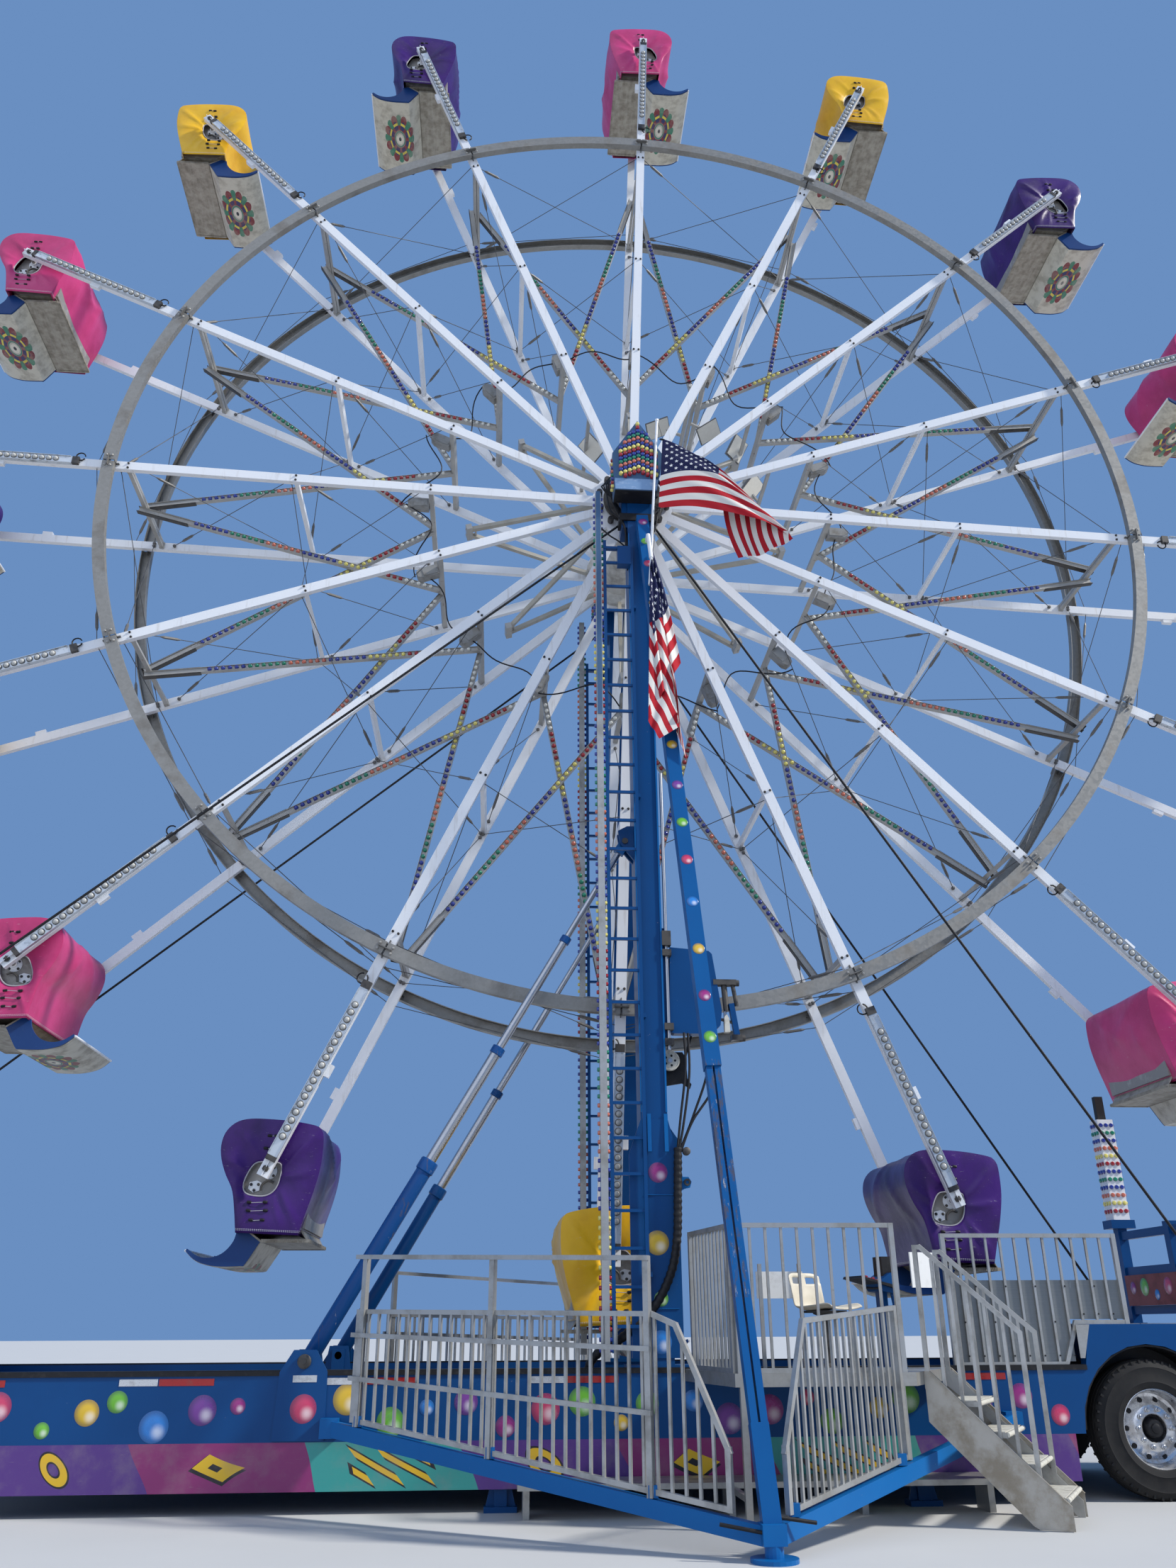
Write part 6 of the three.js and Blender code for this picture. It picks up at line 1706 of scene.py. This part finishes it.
def chair():
    """A moulded chair shell: a section of (ahead, up) carried across, dished by its distance from the middle,
    with two hand slots through the top of its back, where the grid leaves quads out."""
    knots = [(-0.21, 0.438), (-0.17, 0.455), (0.0, 0.440), (0.13, 0.437), (0.175, 0.465), (0.195, 0.55),
             (0.212, 0.64), (0.225, 0.715)]
    rows, columns = 40, 23
    line = evenly(curve(knots, 120), rows)
    x = np.linspace(-0.185, 0.185, columns)
    dish = 0.028 * (np.abs(x) / 0.185) ** 3
    over = normals(line)
    high = line[:, None, 1] + over[:, None, 1] * dish
    at_top = (np.arange(rows) > rows - 6)[:, None]
    high = high - 0.03 * (np.abs(x) / 0.185) ** 5 * at_top * np.linspace(0, 1, rows)[:, None]
    grid = np.stack([np.broadcast_to(x, (rows, columns)), line[:, None, 0] + over[:, None, 0] * dish,
                     high], -1)
    row, column = np.divmod(np.arange((rows - 1) * (columns - 1)), columns - 1)
    slot = (row >= rows - 6) & (row < rows - 3) & (np.abs(np.abs(column - (columns - 2) / 2) - 5) < 2.6)
    shell = Shape(grid, grid_quads(rows, columns)[~slot])
    piece("chair_shell", at_stand(shell, *CHAIR), MOULDED, "base", smooth=70,
          replaces=["operator_chair"], thickness=0.008)
    post = turned([(0.16, 0.003), (0.16, 0.012), (0.05, 0.03), (0.035, 0.05), (0.035, 0.38), (0.10, 0.405),
                   (0.10, 0.425)], 28)
    spring = upright(rectangle(0.22, 0.26), 0, 0, 0.412, 0.430)
    piece("chair_post", at_stand(together(post, spring), *CHAIR), DARK, "base", smooth=35)


CHAIR = (1.27, -1.84, 0.62)
CONSOLE = (1.70, -1.64, 0.2)


def console():
    """The control desk: a blue post and wedge, a thin black tray and switch box, and unlettered knobs."""
    wedge = [(0.02, 0.64), (0.06, 0.575), (0.18, 0.555), (0.205, 0.705), (0.14, 0.715)]
    lead = [(0.16, -0.09, 0.56), (0.175, -0.09, 0.40), (0.15, -0.06, 0.20), (0.15, -0.05, 0.02)]
    post = together(upright(rectangle(0.07, 0.07), 0.11, 0, 0.003, 0.60),
                    upright(rectangle(0.24, 0.24), 0.10, 0, 0.002, 0.014),
                    plate(wedge, -0.13, 0.13), tube(curve(lead, 20), 0.016, 10))
    piece("console_case", at_stand(post, *CONSOLE), TOWER_BLUE, "base", smooth=35,
          replaces=["control_console"])
    tray = plate([(-0.145, 0.672), (-0.135, 0.690), (-0.12, 0.682), (0.13, 0.625), (0.17, 0.60),
                  (0.17, 0.588), (0.12, 0.605)], -0.165, 0.165)
    box = plate(box_of(0.10, 0.185, 0.69, 0.84), -0.075, 0.075)
    lever = tube(curve([(-0.10, -0.12, 0.60), (-0.02, -0.12, 0.595), (0.06, -0.10, 0.60)], 10), 0.009, 8)
    piece("console_tray", at_stand(together(tray, box, lever), *CONSOLE), CABLE, "base",
          smooth=35)
    knob = turned([(0.014, 0), (0.016, 0.008), (0.013, 0.016), (0, 0.018)], 12)
    rows = [(-0.08 + 0.06 * n, -0.12 + 0.06 * m, 0.675 - 0.0137 * n) for n in range(3) for m in range(5)]
    piece("console_knobs", at_stand(knob.placed(frames_at(rows, (0.22, 0, 1), (0, 1, 0))), *CONSOLE),
          BULBS["red"], "base", smooth=40)


def rear_lights():
    """Peg bulbs in rows of three on every face of both rear posts, in one colour for each row."""
    post_x, post_y = REAR_POST
    order = ["blue", "green", "blue", "salmon", "yellow", "red"] * 2
    levels = np.linspace(3.31, 2.42, 12)
    for name in ["blue", "green", "salmon", "yellow", "red"]:
        spots, ways = [], []
        for z in levels[[order[n] == name for n in range(12)]]:
            for y in (-post_y, post_y):
                for shift in (-0.058, 0, 0.058):
                    spots += [(post_x + shift, y - 0.088, z), (post_x + shift, y + 0.088, z),
                              (post_x - 0.088, y + shift, z), (post_x + 0.088, y + shift, z)]
                    ways += [(0, -1, 0), (0, 1, 0), (-1, 0, 0), (1, 0, 0)]
        frames = frames_at(spots, np.array(ways, float), (0.1, 0.2, 1))
        frames[:, :3] *= 1.15
        frames[:, 2] *= 0.4
        piece(f"rear_bulbs_{name}", PEG.placed(frames), BULBS[name], "base", smooth=50)


def rear_boards():
    """White sleeves round both bulb posts, and the red board with painted balls between the rear rails."""
    post_x, post_y = REAR_POST
    sleeves = [upright(rectangle(0.176, 0.176), post_x, s * post_y, 2.332, 3.372) for s in BOTH]
    piece("post_sleeves", together(*sleeves), WHITE, "base")
    masts = [upright(rectangle(0.092, 0.062), post_x, s * post_y, 3.372, 3.628) for s in BOTH]
    piece("post_tops", together(*masts), CABLE, "base")
    board = bars(rectangle(0.010, 0.29), (5.205, -0.97, 1.635), (5.205, 0.97, 1.635), (1, 0, 0))
    piece("rear_board", board, RED_BOARD, "base")
    y = np.linspace(-0.82, 0.82, 8)
    spots = np.stack([np.full(8, 5.1995), y, 1.635 + 0.05 * np.cos(9 * y)], -1)
    radii = [0.08, 0.055, 0.085, 0.06, 0.08, 0.05, 0.085, 0.06]
    tints = ["magenta", "green", "purple", "yellow", "pink", "blue", "green", "magenta"]
    balls("board_balls", spots, radii, tints, (-1, 0, 0), (0, -1, 0))


def fence_sheets():
    """A grey sheet screwed to the back of the trailer's fence, with its screws, and the corner gusset."""
    outline = [(2.50, 1.035), (3.54, 1.035), (3.54, 1.36), (4.035, 1.36), (4.035, 1.67), (2.50, 1.67)]
    piece("fence_sheet", plate(outline, -1.2525, -1.2485), SHEET_GREY, "base")
    gusset = plate([(3.56, 1.318), (3.68, 1.318), (3.60, 1.06), (3.56, 1.06)], -1.3055, -1.3005)
    piece("fence_gusset", gusset, ALLOY, "base")
    x = 2.6155 + 0.1308 * np.arange(11)
    lift = np.where(x < 3.58, 1.08, 1.40)
    spots = np.concatenate([np.stack([x, np.full(11, -1.2755), np.where(np.arange(11) % 2, 1.62, 1.34)], -1),
                            np.stack([x, np.full(11, -1.2755), lift], -1)])
    screw = turned([(0.0075, 0), (0.007, 0.004), (0, 0.005)], 8)
    piece("fence_screws", screw.placed(frames_at(spots, (0, -1, 0), (1, 0, 0))), CABLE, "base")


STAIR = (2.0933, -1.8914, math.atan2(-0.68, 1.1597), 0)


def stair_plates():
    """Deep side plates outside both stringers, with their top flange, and cream nosings on the treads."""
    outline = [(0.004, 0.66), (0.004, 1.0), (0.05, 1.0), (0.935, 0.155), (0.935, 0.004), (0.70, 0.004),
               (0.665, 0.02)]
    sides = [plate(outline, *sorted((side * 0.4025, side * 0.4085))) for side in BOTH]
    lips = [bars(rectangle(0.03, 0.006), (0.05, y, 1.0), (0.935, y, 0.155)) for y in (-0.418, 0.418)]
    piece("stair_plates", at_stand(together(*sides, *lips), *STAIR), STAIR_METAL, "base")
    ends = [((n - 0.24) * 0.176 + 0.246, 1 - 0.2 * n) for n in range(1, 5)]
    nosing = [tube([(x, -0.385, z - 0.014), (x, 0.385, z - 0.014)], 0.017, 12, (1, 0, 0)) for x, z in ends]
    decks = [bars(rectangle(0.006, 0.22), (x - 0.125, -0.385, z + 0.004), (x - 0.125, 0.385, z + 0.004),
                  (0, 0, 1)) for x, z in ends]
    piece("stair_nosings", at_stand(together(*nosing, *decks), *STAIR), CREAM, "base", smooth=40)


def mast_details():
    """Edge strips, ribs and weld seams on both masts in a lighter blue, which on the edge strips is a painted
    highlight; the lug beside the conduit, and blue fence sockets.
    """
    # The edge strips run down the mast's front edges in the lighter frame blue: a painted highlight along
    # them.
    parts = [bars(rectangle(0.010, 0.016), (x, -1.298, 3.06), (x, -1.298, 9.30)) for x in (-0.112, 0.112)]
    parts += [bars(rectangle(0.010, 0.034), (x, -1.315, 2.72), (x, -1.303, 3.045)) for x in (-0.047, 0.103)]
    parts += [bars(rectangle(0.012, 0.006), (-0.10, -1.302, z), (0.17, -1.302, z)) for z in (2.36, 1.455)]
    parts.append(plate([(0.17, 2.36), (0.25, 2.41), (0.30, 2.42), (0.315, 2.47), (0.29, 2.51), (0.24, 2.51),
                        (0.19, 2.62)], -1.29, -1.275))
    piece("mast_highlight_strips", on_both_sides(together(*parts)), FRAME_BLUE, "base")
    eye = hoop(box_of(0.014, 0.03, -0.012, 0.012), 20)
    knob = turned([(0.03, -0.02), (0.036, -0.01), (0.036, 0.02), (0.026, 0.028), (0, 0.03)], 18)
    lug = [shape.placed(frames_at(spot, (0, -1, 0), (1, 0, 0)))
           for shape, spot in ((eye, (0.277, -1.29, 2.466)), (knob, (0.275, -1.31, 2.722)))]
    piece("mast_lug", together(*lug), DARK, "base", smooth=35)
    sockets, foot = [], np.array((0.375, -3.64, 0.13))
    for root, shares in (((-2.65, -1.35, 0.6), (0.08, 0.42, 0.775)), ((2.88, -1.35, 0.6), (0.53, 0.93))):
        spots = root + np.array(shares)[:, None] * (foot - root) + (0, 0, 0.058)
        sockets.append(bars(rectangle(0.066, 0.066), spots, spots + (0, 0, 0.075), (1, 0, 0)))
    pins = bars(circle(0.012, 10), [(0.05, -3.60, 0.20), (0.42, -3.62, 0.235)],
                [(0.34, -3.67, 0.155), (0.66, -3.60, 0.20)])
    piece("beam_sockets", on_both_sides(together(*sockets)), FRAME_BLUE, "base")
    piece("foot_pins", on_both_sides(pins), CABLE, "base", smooth=40)


def sign_boards():
    """Bare white boards on posts by the platform's gaps."""
    board = plate(box_of(0.83, 1.23, 1.53, 1.74), -1.32, -1.305)
    turned_board = plate(box_of(-0.12, 0.12, 1.60, 1.87), -0.006, 0.006).placed(
        [[[0.93, 0.36, 0], [-0.36, 0.93, 0], [0, 0, 1], [2.14, -1.72, 0]]])
    legs = [upright(rectangle(0.03, 0.03), x, -1.333, 1.003, 1.80) for x in (0.86, 1.20)]
    piece("bare_boards", together(board, turned_board), BOARD_WHITE, "base")
    piece("board_legs", together(*legs), ALLOY, "base")


def floor_plates():
    """Aluminium tread plates with joints between them, on the trailer's two ends and its low middle."""
    parts = []
    for first, step, count, long, low, high, half in ((-8.86, 0.84, 3, 0.834, 1.3205, 1.3255, 1.16),
                                                      (3.5, 0.80, 2, 0.79, 1.3205, 1.3255, 0.98),
                                                      (-6.2, 1.05, 9, 1.04, 0.7105, 0.7155, 0.9)):
        parts += [plate(box_of(x + 0.004, x + long, low, high), -half, half)
                  for x in np.arange(first, first + (count - 0.5) * step, step)]
    piece("deck_plates", together(*parts), tread_plate(), "base")


def tread_plate():
    """Five-bar tread plate: short raised bars in squares that turn by a right angle from cell to cell."""
    f = Finish("tread_plate")
    x, y, _ = f.axes()
    u, v = x * 22, y * 22
    turn = (u.math("FLOOR") + v.math("FLOOR")) / 2
    odd = turn.math("FRACT") > 0.25
    a, b = u.math("FRACT") - 0.5, v.math("FRACT") - 0.5
    along, across = a * odd + b * (1 - odd), b * odd + a * (1 - odd)
    bar = (abs((across * 3).math("FRACT") - 0.5) > 0.34) * (abs(along) < 0.38)
    dirt = f.noise(4, 5, 0.6).smooth(0.4, 0.7)
    tone = f.mix(dirt, (0.40, 0.395, 0.375), (0.28, 0.27, 0.245))
    return f.done(tone, roughness=0.42 + dirt * 0.25 - bar * 0.1, metallic=0.6, height=bar, strength=0.6,
                  depth=0.002)


column_lights()
head_lights()
strut_balls()
upper_flag()
lower_flag()
lift_cylinders()
drive_unit()
hoses()
slip_ring()
side_paint()
wheels()
chair()
console()
rear_lights()
rear_boards()
fence_sheets()
stair_plates()
mast_details()
flag_fittings()
sign_boards()
floor_plates()


# Plain stage: a pale floor, a plain pale backdrop and soft light
FLOOR_WIDE = 320


def stage():
    """The floor, the backdrop and two suns."""
    floor_mesh = bpy.data.meshes.new("floor")
    corners = np.insert(rectangle(FLOOR_WIDE, FLOOR_WIDE), 2, 0, axis=1)
    floor_mesh.from_pydata(corners.tolist(), [], [(0, 1, 2, 3)])
    f = Finish("floor")
    floor_mesh.materials.append(f.done(f.mix(f.noise(0.8, 4), (0.50, 0.50, 0.49), (0.55, 0.55, 0.54)),
                                       roughness=0.9))
    floor = bpy.data.objects.new("floor", floor_mesh)
    bpy.context.scene.collection.objects.link(floor)
    world = bpy.data.worlds.new("world")
    world.use_nodes = True
    world.node_tree.nodes["Background"].inputs["Color"].default_value = (0.20, 0.38, 0.74, 1)
    world.node_tree.nodes["Background"].inputs["Strength"].default_value = 0.72
    bpy.context.scene.world = world
    for name, turn, strength, angle, colour in (
            ("key", (0, 52, -18), 4.2, 5, (1.0, 0.965, 0.90)),
            ("fill", (0, 62, -122), 0.8, 70, (1.0, 0.98, 0.95))):
        sun = bpy.data.lights.new(name, "SUN")
        sun.energy = strength
        sun.angle = math.radians(angle)
        sun.color = colour
        lamp = bpy.data.objects.new(name, sun)
        lamp.rotation_euler = [math.radians(t) for t in turn]
        bpy.context.scene.collection.objects.link(lamp)
    bpy.context.scene.view_settings.view_transform = "Standard"


stage()
